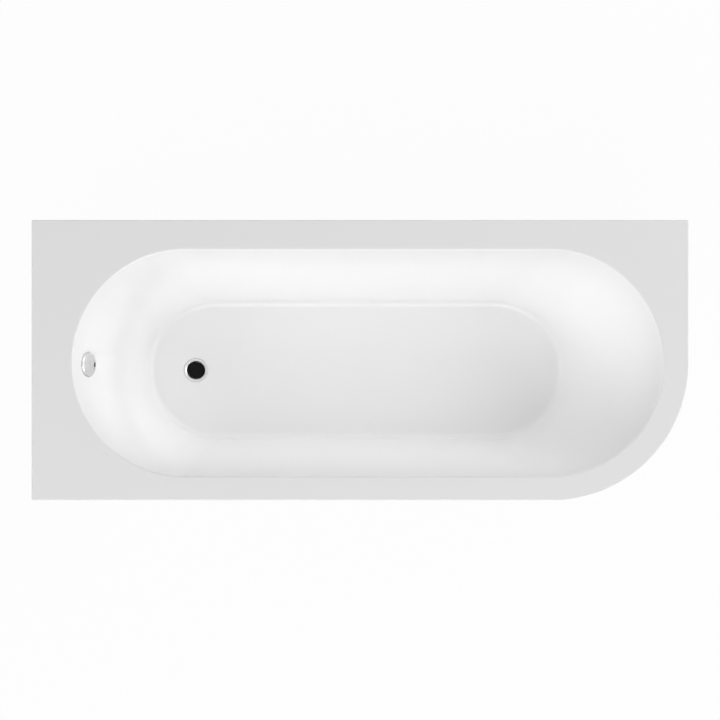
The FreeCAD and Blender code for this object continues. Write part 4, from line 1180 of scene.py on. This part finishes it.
@dataclass
class Trees:
    """The node trees that the sub-assemblies share."""

    well: ShapeTree = field(default_factory=well_tree)
    sheet: ShapeTree = field(default_factory=sheet_tree)
    pipe: ShapeTree = field(default_factory=pipe_tree)
    thread: ShapeTree = field(default_factory=thread_tree)
    scatter: ShapeTree = field(default_factory=scatter_tree)

    def fasten(
        self, node: str, template: Piece, ways: Mapping[int, Vector], head: float, spin: float
    ) -> None:
        """Stand in for a node's fasteners by copies of one.

        Args:
            node: The node's name.
            template: One fastener at the origin, pointing up; it is used up.
            ways: The direction that a head points in, by the axis along which its fastener is longest.
            head: Height of a head.
            spin: How far each copy is turned on from the one before.
        """
        places = heads(node, ways, head)
        points = bpy.data.meshes.new(node)
        points.from_pydata([tuple(spot) for spot, _ in places], [], [])
        directions = points.attributes.new("direction", "FLOAT_VECTOR", "POINT")
        for item, (_, direction) in zip(directions.data, places):
            item.vector = direction
        sizes = {"Template": template, "Spin": spin}
        piece = self.scatter.grow(f"{node}_dressed", ZINC, sizes, points)
        discard([template])
        keep(piece, ZINC, node)

    def drive(self, node: str, ways: Mapping[int, Vector]) -> None:
        """Make a node's screws.

        Args:
            node: The node's name.
            ways: The direction that a head points in, by the axis along which its screw lies.
        """
        low, high = islands(node)[0]
        screw = WoodScrew(max(high - low) - WoodScrew.head)
        self.fasten(node, screw.build(), ways, screw.head, spin=0.7)


@dataclass
class TubShell:
    """The moulded bath and the glass-fibre coat under it."""

    trees: Trees
    acrylic: float = 0.005
    rim_left: float = 0.105
    rim_right: float = 0.065
    rim_front: float = 0.062
    rim_back: float = 0.077
    lip_depth: float = 0.040
    corner: float = 0.004
    least_corner: float = 0.0005
    rim_edge: float = 0.003
    floor_height: float = 0.140
    floor_radius: float = 0.200
    left_run: float = 0.127
    right_run: float = 0.192
    crease: float = 0.0176
    crease_radius: float = 0.022
    brim: float = 0.0048
    hidden_brim: float = 0.000625
    recess: float = 0.0358
    recess_depth: float = 0.003
    recess_edge: float = 0.0006
    recess_round: float = 0.00018
    waste_hole: float = 0.0298
    boss_margin: float = 0.009
    overflow_drop: float = 0.075
    overflow_seat: float = 0.034
    overflow_hole: float = 0.0253
    seat_depth: float = 0.001
    overflow_boss: float = 0.004
    cover: float = 0.032
    bond: float = 0.0005
    coat: float = 0.004
    coat_clearance: float = 0.006
    arc_steps: int = 72
    run_steps: int = 14
    wall_rows: int = 20
    coat_fineness: int = 3
    corner_steps: int = 6
    edge_runs: int = 12

    def __post_init__(self) -> None:
        """Work out the plan from the frame's own box."""
        self.low, self.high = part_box("tub_shell")
        self.well_radius = (self.high.y - self.low.y - self.rim_front - self.rim_back) / 2
        self.axis = self.low.y + self.rim_front + self.well_radius
        self.top_left = self.low.x + self.rim_left + self.well_radius
        self.top_right = self.high.x - self.rim_right - self.well_radius
        self.floor_left = self.low.x + self.rim_left + self.left_run + self.floor_radius
        self.floor_right = self.high.x - self.rim_right - self.right_run - self.floor_radius
        self.round_corner = self.well_radius + self.rim_front
        depth = self.high.z - self.floor_height
        overflow_x = self.low.x + self.rim_left + self.left_run * self.overflow_drop / depth
        self.overflow = Vector((overflow_x, self.axis, self.high.z - self.overflow_drop))
        self.wall_out = Vector((depth, 0.0, self.left_run)).normalized()
        waste_low, waste_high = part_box("waste_flange")
        self.waste = Vector(((waste_low.x + waste_high.x) / 2, self.axis, self.floor_height))

    def build(self) -> None:
        """Make the bath and its coat."""
        boss = self.recess + self.boss_margin
        overflow_boss = self.cover + self.boss_margin
        self.build_shell(boss, overflow_boss)
        self.build_coat(boss + self.coat_clearance, overflow_boss + self.coat_clearance)

    def walls(self, name: str, growth: float, top: float, brim: float, fine: int = 1) -> Piece:
        """The walls of the well, grown outwards.

        Args:
            name: The piece's name.
            growth: How far the walls stand outside the well's own.
            top: The height at which they end.
            brim: The length of the rounding at their upper edge.
            fine: How many times finer the straight runs and rows are.

        Returns:
            The open walls.
        """
        floor = self.floor_height - growth
        share = (top - floor) / (self.high.z - floor)
        sizes = {
            "Axis": self.axis,
            "Floor left": self.floor_left,
            "Floor right": self.floor_right,
            "Floor radius": self.floor_radius + growth,
            "Floor height": floor,
            "Top left": self.floor_left + (self.top_left - self.floor_left) * share,
            "Top right": self.floor_right + (self.top_right - self.floor_right) * share,
            "Top radius": self.floor_radius + (self.well_radius - self.floor_radius) * share + growth,
            "Top height": top,
            "Crease": self.crease * (1.0 + growth / self.crease_radius),
            "Brim": brim,
            "Arc": self.arc_steps,
            "Straight": self.run_steps * fine,
            "Rows": self.wall_rows * fine + 1,
        }
        return self.trees.well.grow(name, ACRYLIC, sizes)

    def outline(self, inset: float) -> list[tuple[float, float]]:
        """The plan of the rim, moved inwards.

        Args:
            inset: How far it is moved.

        Returns:
            Its points, the same number for every inset.
        """
        small = max(self.corner, inset + self.least_corner)
        corners = (
            (self.low.x, self.low.y, 1, 1, small, self.corner_steps),
            (self.high.x, self.low.y, -1, 1, self.round_corner, self.arc_steps),
            (self.high.x, self.high.y, -1, -1, small, self.corner_steps),
            (self.low.x, self.high.y, 1, -1, small, self.corner_steps),
        )
        arcs = []
        for index, (x, y, way_x, way_y, radius, steps) in enumerate(corners):
            centre = Vector((x + way_x * radius, y + way_y * radius))
            angles = quarter(steps, math.pi + QUARTER * index)
            arcs.append([centre + Vector((math.cos(a), math.sin(a))) * (radius - inset) for a in angles])
        points = []
        for arc, following in zip(arcs, arcs[1:] + arcs[:1]):
            points += arc
            points += [arc[-1].lerp(following[0], run / self.edge_runs) for run in range(1, self.edge_runs)]
        return [tuple(point) for point in points]

    def add_rim(self, shape: Shape) -> None:
        """Add the rounded outer edge and the turned-down lip.

        Args:
            shape: The shape to add them to.
        """
        top, bottom = self.high.z, self.high.z - self.lip_depth
        stations = [
            (self.rim_edge * (1.0 - math.sin(a)), top - self.rim_edge * (1.0 - math.cos(a)))
            for a in quarter(self.corner_steps)
        ]
        stations += [(0.0, bottom), (self.acrylic, bottom), (self.acrylic, top - self.acrylic)]
        bridge(shape, [[(x, y, z) for x, y in self.outline(inset)] for inset, z in stations])

    @staticmethod
    def open_edges(shape: Shape, height: float) -> list[bmesh.types.BMEdge]:
        """The open edges that lie at a height.

        Args:
            shape: The shape to search.
            height: The height.

        Returns:
            The edges.
        """
        return [
            edge for edge in shape.edges
            if edge.is_boundary and all(abs(vertex.co.z - height) < WELD_DISTANCE for vertex in edge.verts)
        ]

    def closed_well(self, walls: Sequence[Piece], drain: Profile, rim: bool) -> Shape:
        """Join an inner and an outer well into one closed shape.

        Args:
            walls: The inner and the outer walls; they are used up.
            drain: Radius and height along the hole for the waste, from inside to outside.
            rim: Whether the rim and its lip join them, or a plain edge does.

        Returns:
            The closed shape.
        """
        shape = bmesh.new()
        heights = set()
        for piece in walls:
            shape.from_mesh(piece.data)
            levels = [vertex.co.z for vertex in piece.data.vertices]
            heights |= {round(min(levels), LEVEL_DIGITS), round(max(levels), LEVEL_DIGITS)}
        loops = [circle(radius, height) for radius, height in drain]
        bridge(shape, [[(self.waste.x + x, self.waste.y + y, z) for x, y, z in loop] for loop in loops])
        if rim:
            self.add_rim(shape)
        for height in sorted(heights):
            bmesh.ops.triangle_fill(shape, edges=self.open_edges(shape, height), use_beauty=True, normal=UP)
        bmesh.ops.recalc_face_normals(shape, faces=shape.faces)
        discard(walls)
        return shape

    def build_shell(self, boss: float, overflow_boss: float) -> None:
        """Make the moulded bath.

        Args:
            boss: Radius of the thick ring round the waste.
            overflow_boss: Radius of the thick ring round the overflow.
        """
        inner = self.walls("well_inside", 0.0, self.high.z, self.brim)
        outer = self.walls("well_outside", self.acrylic, self.high.z - self.acrylic, self.hidden_brim)
        floor = self.floor_height
        seat = floor - self.recess_depth
        drain = [
            (self.recess + self.recess_edge, floor),
            (self.recess + self.recess_round, floor - self.recess_round),
            (self.recess, floor - self.recess_edge),
            (self.recess, seat),
            (self.waste_hole, seat),
            (self.waste_hole, seat - self.acrylic),
            (boss, seat - self.acrylic),
            (boss, floor - self.acrylic),
        ]
        shell = piece_of("tub_shell_dressed", self.closed_well((inner, outer), drain, True))
        back = -self.acrylic - self.overflow_boss
        ring = rod("overflow_boss", self.overflow, self.wall_out, back, (overflow_boss, -self.acrylic / 2))
        cut = rod(
            "overflow_cut", self.overflow, self.wall_out, back * 2,
            (self.overflow_hole, -self.seat_depth), (self.overflow_seat, -back),
        )
        carve(shell, [(Joining.ADD, ring), (Joining.CUT, cut)])
        keep(shell, ACRYLIC, "tub_shell", even=True)

    def build_coat(self, waste_way: float, overflow_way: float) -> None:
        """Make the glass-fibre coat.

        Args:
            waste_way: Radius of its opening at the waste.
            overflow_way: Radius of its opening at the overflow.
        """
        hidden = self.acrylic + self.bond
        seen = hidden + self.coat
        top = self.high.z - hidden
        inner = self.walls("coat_inside", hidden, top, MERGE_DISTANCE)
        outer = self.walls("coat_outside", seen, top, MERGE_DISTANCE, self.coat_fineness)
        drain = [(waste_way, self.floor_height - hidden), (waste_way, self.floor_height - seen)]
        coat = piece_of("tub_backing_dressed", self.closed_well((inner, outer), drain, False))
        way = rod("overflow_way", self.overflow, self.wall_out, -seen * 3, (overflow_way, seen))
        carve(coat, [(Joining.CUT, way)])
        keep(coat, FIBRE_COAT, "tub_backing", even=True)


@dataclass
class Apron:
    """The panel at the front and the end, with what holds it."""

    trees: Trees
    tub: TubShell
    thickness: float = 0.004
    gap: float = 0.0055
    top_return: float = 0.016
    bottom_return: float = 0.024
    bend: float = 0.003
    panel_edge: float = 0.0006
    panel_edge_angle: float = math.radians(60)
    timber_edge: float = 0.0008
    clip_edge: float = 0.0006
    bracket_edge: float = 0.0006
    bolt_flats: float = 0.010
    bolt_head: float = 0.004
    bolt_radius: float = 0.003
    bolt_point: float = 0.0024

    def build(self) -> None:
        """Make the panel, its timber, clips, brackets and fasteners."""
        self.panel()
        soften("panel_batten_front", TIMBER_X, self.timber_edge)
        soften("panel_batten_end", TIMBER_Y, self.timber_edge)
        soften("panel_clips", CLIP_PLASTIC, self.clip_edge)
        soften("panel_brackets", GALVANISED, self.bracket_edge)
        self.trees.drive("clip_screws", {0: RIGHT, 1: FRONT})
        self.trees.drive("bracket_screws", {1: BACK})
        self.bolts()

    def panel(self) -> None:
        """Make the bent panel."""
        low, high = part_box("apron_panel")
        sizes = {
            "Left": low.x, "Right": high.x, "Front": low.y, "Back": high.y,
            "Corner": self.tub.round_corner - self.gap, "Low": low.z, "High": high.z,
            "Low return": self.bottom_return, "High return": self.top_return, "Bend": self.bend,
        }
        panel = self.trees.sheet.grow("apron_panel_dressed", ACRYLIC, sizes)
        solid = panel.modifiers.new("wall", "SOLIDIFY")
        solid.thickness = self.thickness
        solid.offset = 1.0
        solid.use_even_offset = True
        round_edges(panel, self.panel_edge, angle=self.panel_edge_angle)
        keep(panel, ACRYLIC, "apron_panel", even=True)

    def bolts(self) -> None:
        """Make the brackets' bolts and nuts."""
        low, high = islands("bracket_bolts")[0]
        end, middle = self.bolt_head - (high.z - low.z), self.bolt_head / 2
        shoulder = end + self.bolt_radius - self.bolt_point
        profile = [(0.0, end), (self.bolt_point, end), (self.bolt_radius, shoulder)]
        profile += [(self.bolt_radius, middle), (0.0, middle)]
        bolt = hexagon("bolt", self.bolt_flats, self.bolt_head)
        carve(bolt, [(Joining.ADD, lathe("shank", profile, Vector(), sides=SMALL_SIDES))])
        self.trees.fasten("bracket_bolts", bolt, {2: DOWN}, self.bolt_head, spin=0.3)
        low, high = islands("bracket_nuts")[0]
        height = high.z - low.z
        nut = hexagon("nut", self.bolt_flats, height, self.bolt_radius)
        self.trees.fasten("bracket_nuts", nut, {0: UP, 1: UP}, height, spin=0.5)


@dataclass
class Base:
    """The board, cradles, wall brackets, rim timber and levelling feet."""

    trees: Trees
    board_edge: float = 0.0006
    timber_edge: float = 0.0008
    steel_edge: float = 0.0005
    pitch: float = 0.0015
    stud_radius: float = 0.005
    thread_depth: float = 0.0007
    thread_sides: int = 24
    spanner_flats: float = 0.014
    spanner_low: float = 0.027
    spanner_height: float = 0.008
    nut_flats: float = 0.017
    nut_height: float = 0.008
    nut_gap: float = 0.0001
    pad_sides: int = 72
    pad_profile: Profile = field(
        default_factory=lambda: [
            (0.0, 0.0), (0.0232, 0.0), (0.024, 0.0008), (0.024, 0.0072), (0.0214, 0.010),
            (0.0102, 0.010), (0.0100, 0.0240), (0.0051, 0.0240), (0.0051, 0.008), (0.0, 0.008),
        ]
    )

    def build(self) -> None:
        """Make everything that stands under the bath."""
        soften("base_board", CHIPBOARD, self.board_edge)
        battens = {"back": TIMBER_X, "front": TIMBER_X, "left": TIMBER_Y, "right": TIMBER_Y}
        for side, finish in battens.items():
            soften(f"rim_batten_{side}", finish, self.timber_edge)
        for node in ("cradle_left", "cradle_right", "wall_brackets", "centre_foot_plate"):
            soften(node, GALVANISED, self.steel_edge)
        self.trees.drive("board_screws", {2: DOWN})
        nut = hexagon("nut", self.nut_flats, self.nut_height, self.stud_radius + self.nut_gap)
        self.trees.fasten("lock_nuts", nut, {0: UP, 1: UP}, self.nut_height, spin=0.4)
        for foot in FEET:
            self.foot(foot)

    def foot(self, name: str) -> None:
        """Make one pad and its stud.

        Args:
            name: The foot's place.
        """
        low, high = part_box(f"foot_stud_{name}")
        spot = Vector(((low.x + high.x) / 2, (low.y + high.y) / 2, 0.0))
        pad = lathe(f"foot_pad_{name}_dressed", self.pad_profile, spot, sides=self.pad_sides)
        keep(pad, PAD_PLASTIC, f"foot_pad_{name}", body=f"foot_{name}")
        stud = piece_of(f"foot_stud_{name}_dressed", self.stud(spot, low.z, high.z))
        keep(stud, ZINC, f"foot_stud_{name}", body=f"stud_{name}")

    def stud(self, spot: Vector, low: float, high: float) -> Shape:
        """Put a stud together from its thread, its spanner flats and its plain end.

        Args:
            spot: Where its axis meets the floor.
            low: The height of its lower end.
            high: The height of its upper end.

        Returns:
            The stud's shape.
        """
        turns = int((high - self.spanner_low - self.spanner_height + self.pitch) / self.pitch)
        sizes = {
            "X": spot.x, "Y": spot.y, "Low": high - self.pitch * (turns + 1),
            "Root": self.stud_radius - self.thread_depth, "Crest": self.stud_radius,
            "Pitch": self.pitch, "Sides": self.thread_sides, "Rows": 2 * turns + 1,
        }
        thread = self.trees.thread.grow("thread", ZINC, sizes)
        with reshaping(thread.data) as shape:
            ends = bmesh.ops.holes_fill(shape, edges=[edge for edge in shape.edges if edge.is_boundary])
            bmesh.ops.poke(shape, faces=ends["faces"])
        flats = hexagon("flats", self.spanner_flats, self.spanner_height)
        flats.data.transform(Matrix.Translation(spot + UP * self.spanner_low))
        middle = self.spanner_low + self.spanner_height / 2
        shank = rod("shank", spot, UP, low, (self.stud_radius, middle), sides=SMALL_SIDES)
        shape = bmesh.new()
        for part in (thread, flats, shank):
            shape.from_mesh(part.data)
        bmesh.ops.recalc_face_normals(shape, faces=shape.faces)
        discard((thread, flats, shank))
        return shape


@dataclass
class Plumbing:
    """The waste, its plug, the overflow and the pipe between them."""

    trees: Trees
    tub: TubShell
    flange_edge: float = 0.0004
    flange_steps: int = 3
    moulding_edge: float = 0.0007
    back_nut_edge: float = 0.0008
    bush_edge: float = 0.0004
    seal_edge: float = 0.0004
    mechanism_edge: float = 0.0003
    cap_foot: float = 0.0006
    cap_edge: float = 0.0022
    cap_edge_drop: float = 0.00154
    cap_edge_steps: int = 4
    cap_crown_share: float = 0.27
    cap_crown_steps: int = 8
    cover_depth: float = 0.008
    cover_dome: float = 0.0015
    cover_wall: float = 0.0018
    cover_sides: int = 128
    cover_edge: tuple[tuple[float, float], ...] = ((1.0, 0.0016), (0.992, 0.0009), (0.972, 0.0002))
    cover_crown: tuple[float, ...] = (0.93, 0.85, 0.72, 0.56, 0.38, 0.18)
    slot_width: float = 0.011
    slot_height: float = 0.008
    slot_edge: float = 0.003
    slot_start: float = 0.003
    slot_reach: float = 0.02
    slot_corner: float = 0.0012
    slot_steps: int = 3
    pipe_radius: float = 0.0125
    pipe_bend: float = 0.045
    tail_radius: float = 0.0239
    tail_root: float = 0.0004
    tail_crest: float = 0.0003
    tail_pitch: float = 0.002
    tail_turns: int = 8
    tail_sides: int = 72
    tail_thread_wall: float = 0.001

    def __post_init__(self) -> None:
        """Find the heights of the cover's seat and face over the wall."""
        self.seat = -self.tub.seat_depth
        self.face = self.seat + self.cover_depth

    def build(self) -> None:
        """Make all the fittings."""
        soften("waste_flange", CHROME, self.flange_edge, self.flange_steps)
        self.tail_thread()
        self.plug()
        self.cover()
        self.pipe()
        soften("waste_banjo", FITTING_BLACK, self.moulding_edge)
        soften("waste_back_nut", FITTING_BLACK, self.back_nut_edge)
        soften("overflow_elbow", FITTING_BLACK, self.moulding_edge)
        soften("overflow_bush", FITTING_BLACK, self.bush_edge)
        soften("pipe_nuts", PIPE_WHITE, self.moulding_edge)
        soften("plug_cartridge", BRASS, self.mechanism_edge)
        for place in ("waste_top", "waste_bottom", "waste_lower", "overflow"):
            soften(f"{place}_seal", RUBBER, self.seal_edge)
        soften("pipe_seals", RUBBER, self.seal_edge)

    def tail_thread(self) -> None:
        """Make the thread on the free end of the waste's tail."""
        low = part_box("waste_flange")[0]
        sizes = {
            "X": self.tub.waste.x, "Y": self.tub.waste.y, "Low": low.z + self.tail_pitch / 2,
            "Root": self.tail_radius - self.tail_root, "Crest": self.tail_radius + self.tail_crest,
            "Pitch": self.tail_pitch, "Sides": self.tail_sides, "Rows": 2 * self.tail_turns + 1,
        }
        thread = self.trees.thread.grow("waste_tail_thread", CHROME, sizes)
        solid = thread.modifiers.new("wall", "SOLIDIFY")
        solid.thickness = self.tail_thread_wall
        solid.offset = -1.0
        settle(thread)
        with reshaping(thread.data) as shape:
            bmesh.ops.recalc_face_normals(shape, faces=shape.faces)
        keep(thread, CHROME)

    def plug(self) -> None:
        """Make the plug's cap, seal and plunger."""
        low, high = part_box("plug_cap")
        radius, height = (high.x - low.x) / 2, high.z - low.z
        crown = height * self.cap_crown_share
        edge, start = radius - self.cap_edge, height - crown - self.cap_edge_drop
        profile = [(0.0, 0.0), (radius - self.cap_foot, 0.0), (radius, self.cap_foot)]
        profile += [
            (edge + self.cap_edge * math.cos(a), start + self.cap_edge_drop * math.sin(a))
            for a in quarter(self.cap_edge_steps)[:-1]
        ]
        shares = [1.0 - step / self.cap_crown_steps for step in range(self.cap_crown_steps)]
        profile += [(edge * share, height - crown * share**2) for share in shares]
        spot = Vector((self.tub.waste.x, self.tub.waste.y, low.z))
        keep(lathe("plug_cap_dressed", [*profile, (0.0, height)], spot), PLUG_BLACK, "plug_cap", body=PLUG)
        soften("plug_seal", RUBBER, self.mechanism_edge, body=PLUG)
        soften("plug_plunger", BRASS, self.mechanism_edge, body=PLUG)

    def skin(self, share: float) -> float:
        """Height of the cover's domed face at a share of its radius."""
        return self.face + self.cover_dome * (1.0 - share * share)

    def cover(self) -> None:
        """Make the overflow's cover with its slot."""
        radius, inner = self.tub.cover, self.tub.cover - self.cover_wall
        profile = [(radius, self.seat)]
        profile += [(radius * share, self.face - drop) for share, drop in self.cover_edge]
        profile += [(radius * share, self.skin(share)) for share in self.cover_crown]
        profile += [(0.0, self.skin(0.0)), (0.0, self.skin(0.0) - self.cover_wall)]
        profile += [(inner, self.face - self.cover_wall), (inner, self.seat)]
        spot, way = self.tub.overflow, self.tub.wall_out
        cover = lathe("overflow_cover_dressed", profile, spot, way, self.cover_sides)
        carve(cover, [(Joining.CUT, self.slot())])
        # Painted shade: the cover's hollow and the slot's sides are made black.
        self.paint_slot_shade(cover)
        keep(cover, CHROME, "overflow_cover")

    def slot(self) -> Piece:
        """Make the helper that cuts the slot near the cover's lower edge.

        Returns:
            A block with rounded edges.
        """
        out = self.tub.wall_out
        down = Vector((out.z, 0.0, -out.x))
        drop = self.tub.cover - self.slot_edge - self.slot_height / 2
        lift = self.seat + self.slot_start + self.slot_reach / 2
        spot = self.tub.overflow + down * drop + out * lift
        turn = Matrix((down, BACK, out)).transposed().to_4x4()
        size = Matrix.Diagonal((self.slot_height, self.slot_width, self.slot_reach, 1.0))
        shape = block(Matrix.Translation(spot) @ turn @ size)
        bmesh.ops.bevel(
            shape,
            geom=list(shape.edges),
            offset=self.slot_corner,
            segments=self.slot_steps,
            affect="EDGES",
            profile=0.5,
        )
        return piece_of("slot", shape)

    def paint_slot_shade(self, cover: Piece) -> None:
        """Paint the cover's hollow and the sides of its slot black: painted shade that darkens the view
        into the slot.

        Args:
            cover: The cover with its slot cut.
        """
        # Painted shade: faces inside the hollow and on the slot's sides get the black finish.
        for finish in (CHROME, FITTING_BLACK):
            cover.data.materials.append(finish.material())
        home = frame_at(self.tub.overflow, self.tub.wall_out).inverted()
        for polygon in cover.data.polygons:
            spot = home @ polygon.center
            reach = spot.xy.length
            within = reach < self.tub.cover - self.cover_wall / 2
            below = spot.z < self.skin(reach / self.tub.cover) - self.cover_wall / 4
            polygon.material_index = int(within and below)

    def pipe(self) -> None:
        """Make the pipe from the overflow's elbow to the waste."""
        low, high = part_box("overflow_pipe")
        out = self.tub.wall_out
        start_x = low.x + self.pipe_radius * out.x
        start_z = high.z - self.pipe_radius * out.z
        line = low.z + self.pipe_radius
        sizes = {
            "Start X": start_x, "Start Z": start_z, "Corner X": start_x + (start_z - line) * out.z / out.x,
            "End X": high.x, "Low": line, "Side": self.tub.axis, "Radius": self.pipe_radius,
            "Bend": self.pipe_bend,
        }
        keep(self.trees.pipe.grow("overflow_pipe_dressed", PIPE_WHITE, sizes), PIPE_WHITE, "overflow_pipe")


@dataclass(frozen=True)
class Lamp:
    """One soft lamp: its turn from the bath's right end and its rise in degrees, and its power in watts."""

    name: str
    turn: float
    rise: float
    power: float

    def way(self) -> Vector:
        """The direction in which the lamp hangs."""
        turn, rise = math.radians(self.turn), math.radians(self.rise)
        return Vector((math.cos(rise) * math.cos(turn), math.cos(rise) * math.sin(turn), math.sin(rise)))


@dataclass
class Studio:
    """The floor, the light and the camera."""

    floor_reach: float = 30.0
    floor_drop: float = 0.0005
    floor_white: float = 0.65
    shadow_share: float = 0.04
    sky: float = 0.005
    zenith: float = 0.27
    middle: Spot = (0.0, 0.0, 0.4)
    lamp_reach: float = 8.0
    lamp_size: float = 5.0
    lamps: tuple[Lamp, ...] = (
        Lamp("right", 0, 32, 206.0),
        Lamp("back_right", 45, 32, 216.0),
        Lamp("back", 90, 52, 58.0),
        Lamp("left", 180, 32, 149.0),
        Lamp("front_left", 225, 32, 144.0),
        Lamp("front_low", 270, 32, 143.0),
        Lamp("front_high", 270, 52, 167.0),
    )
    camera_spot: Spot = (0.0, -0.158, 3.555)
    lens: float = 57.9
    shift_up: float = 0.085

    def build(self) -> None:
        """Set the stage."""
        self.floor()
        self.world()
        for lamp in self.lamps:
            self.hang(lamp)
        camera = bpy.data.cameras.new("camera")
        camera.lens = self.lens
        camera.shift_y = self.shift_up
        eye = add_object("camera", camera)
        eye.location = self.camera_spot
        bpy.context.scene.camera = eye
        bpy.context.scene.view_settings.view_transform = "Standard"

    def seen(self, wiring: Wiring) -> Term:
        """Whether a ray comes straight, mirrored or through glass from the camera.

        Args:
            wiring: The tree that asks.

        Returns:
            1 where it does, and 0 elsewhere.
        """
        path = wiring.add("ShaderNodeLightPath")
        share = Term(wiring, path.outputs["Is Camera Ray"])
        for name in ("Is Glossy Ray", "Is Transmission Ray"):
            share = wiring.math("MAXIMUM", share, Term(wiring, path.outputs[name]))
        return share

    def floor(self) -> None:
        """Lay a plain white floor that keeps a soft shadow."""
        shape = bmesh.new()
        bmesh.ops.create_grid(shape, x_segments=1, y_segments=1, size=self.floor_reach)
        floor = piece_of("floor", shape)
        floor.location.z = -self.floor_drop
        made = bpy.data.materials.new("studio_floor")
        made.use_nodes = True
        wiring = Wiring(made.node_tree)
        made.node_tree.nodes.clear()
        white = (self.floor_white, self.floor_white, self.floor_white, 1.0)
        matt = wiring.add("ShaderNodeBsdfDiffuse", {"Color": white})
        glow = wiring.add("ShaderNodeEmission", {"Color": (1.0, 1.0, 1.0, 1.0), "Strength": 1.0})
        share = self.seen(wiring) * (1.0 - self.shadow_share)
        mix = wiring.add("ShaderNodeMixShader", {0: share, 1: matt.outputs[0], 2: glow.outputs[0]})
        wiring.add("ShaderNodeOutputMaterial", {"Surface": mix.outputs[0]})
        floor.data.materials.append(made)

    def world(self) -> None:
        """Make a white sky that is brightest overhead and white to the camera."""
        world = bpy.data.worlds.new("studio")
        world.use_nodes = True
        bpy.context.scene.world = world
        wiring = Wiring(world.node_tree)
        back = world.node_tree.nodes["Background"]
        rise = wiring.height(wiring.add("ShaderNodeTexCoord").outputs["Generated"]).held()
        light = rise * rise * rise * rise * self.zenith + self.sky
        wiring.feed(back.inputs["Color"], (1.0, 1.0, 1.0, 1.0))
        wiring.feed(back.inputs["Strength"], light.towards(1.0, self.seen(wiring)))

    def hang(self, lamp: Lamp) -> None:
        """Hang a square lamp that faces the bath.

        Args:
            lamp: Its place and power.
        """
        light = bpy.data.lights.new(lamp.name, "AREA")
        light.shape = "SQUARE"
        light.size = self.lamp_size
        light.energy = lamp.power
        hung = add_object(lamp.name, light)
        hung.location = Vector(self.middle) + lamp.way() * self.lamp_reach
        hung.rotation_euler = (-lamp.way()).to_track_quat("-Z", "Y").to_euler()
        hung.visible_camera = False


def main() -> None:
    """Dress the bath piece by piece and set the stage."""
    logging.basicConfig(level=logging.INFO, format="%(name)s: %(message)s")
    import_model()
    trees = Trees()
    tub = TubShell(trees)
    tub.build()
    Apron(trees, tub).build()
    Base(trees).build()
    Plumbing(trees, tub).build()
    Studio().build()


if __name__ == "__main__":
    main()
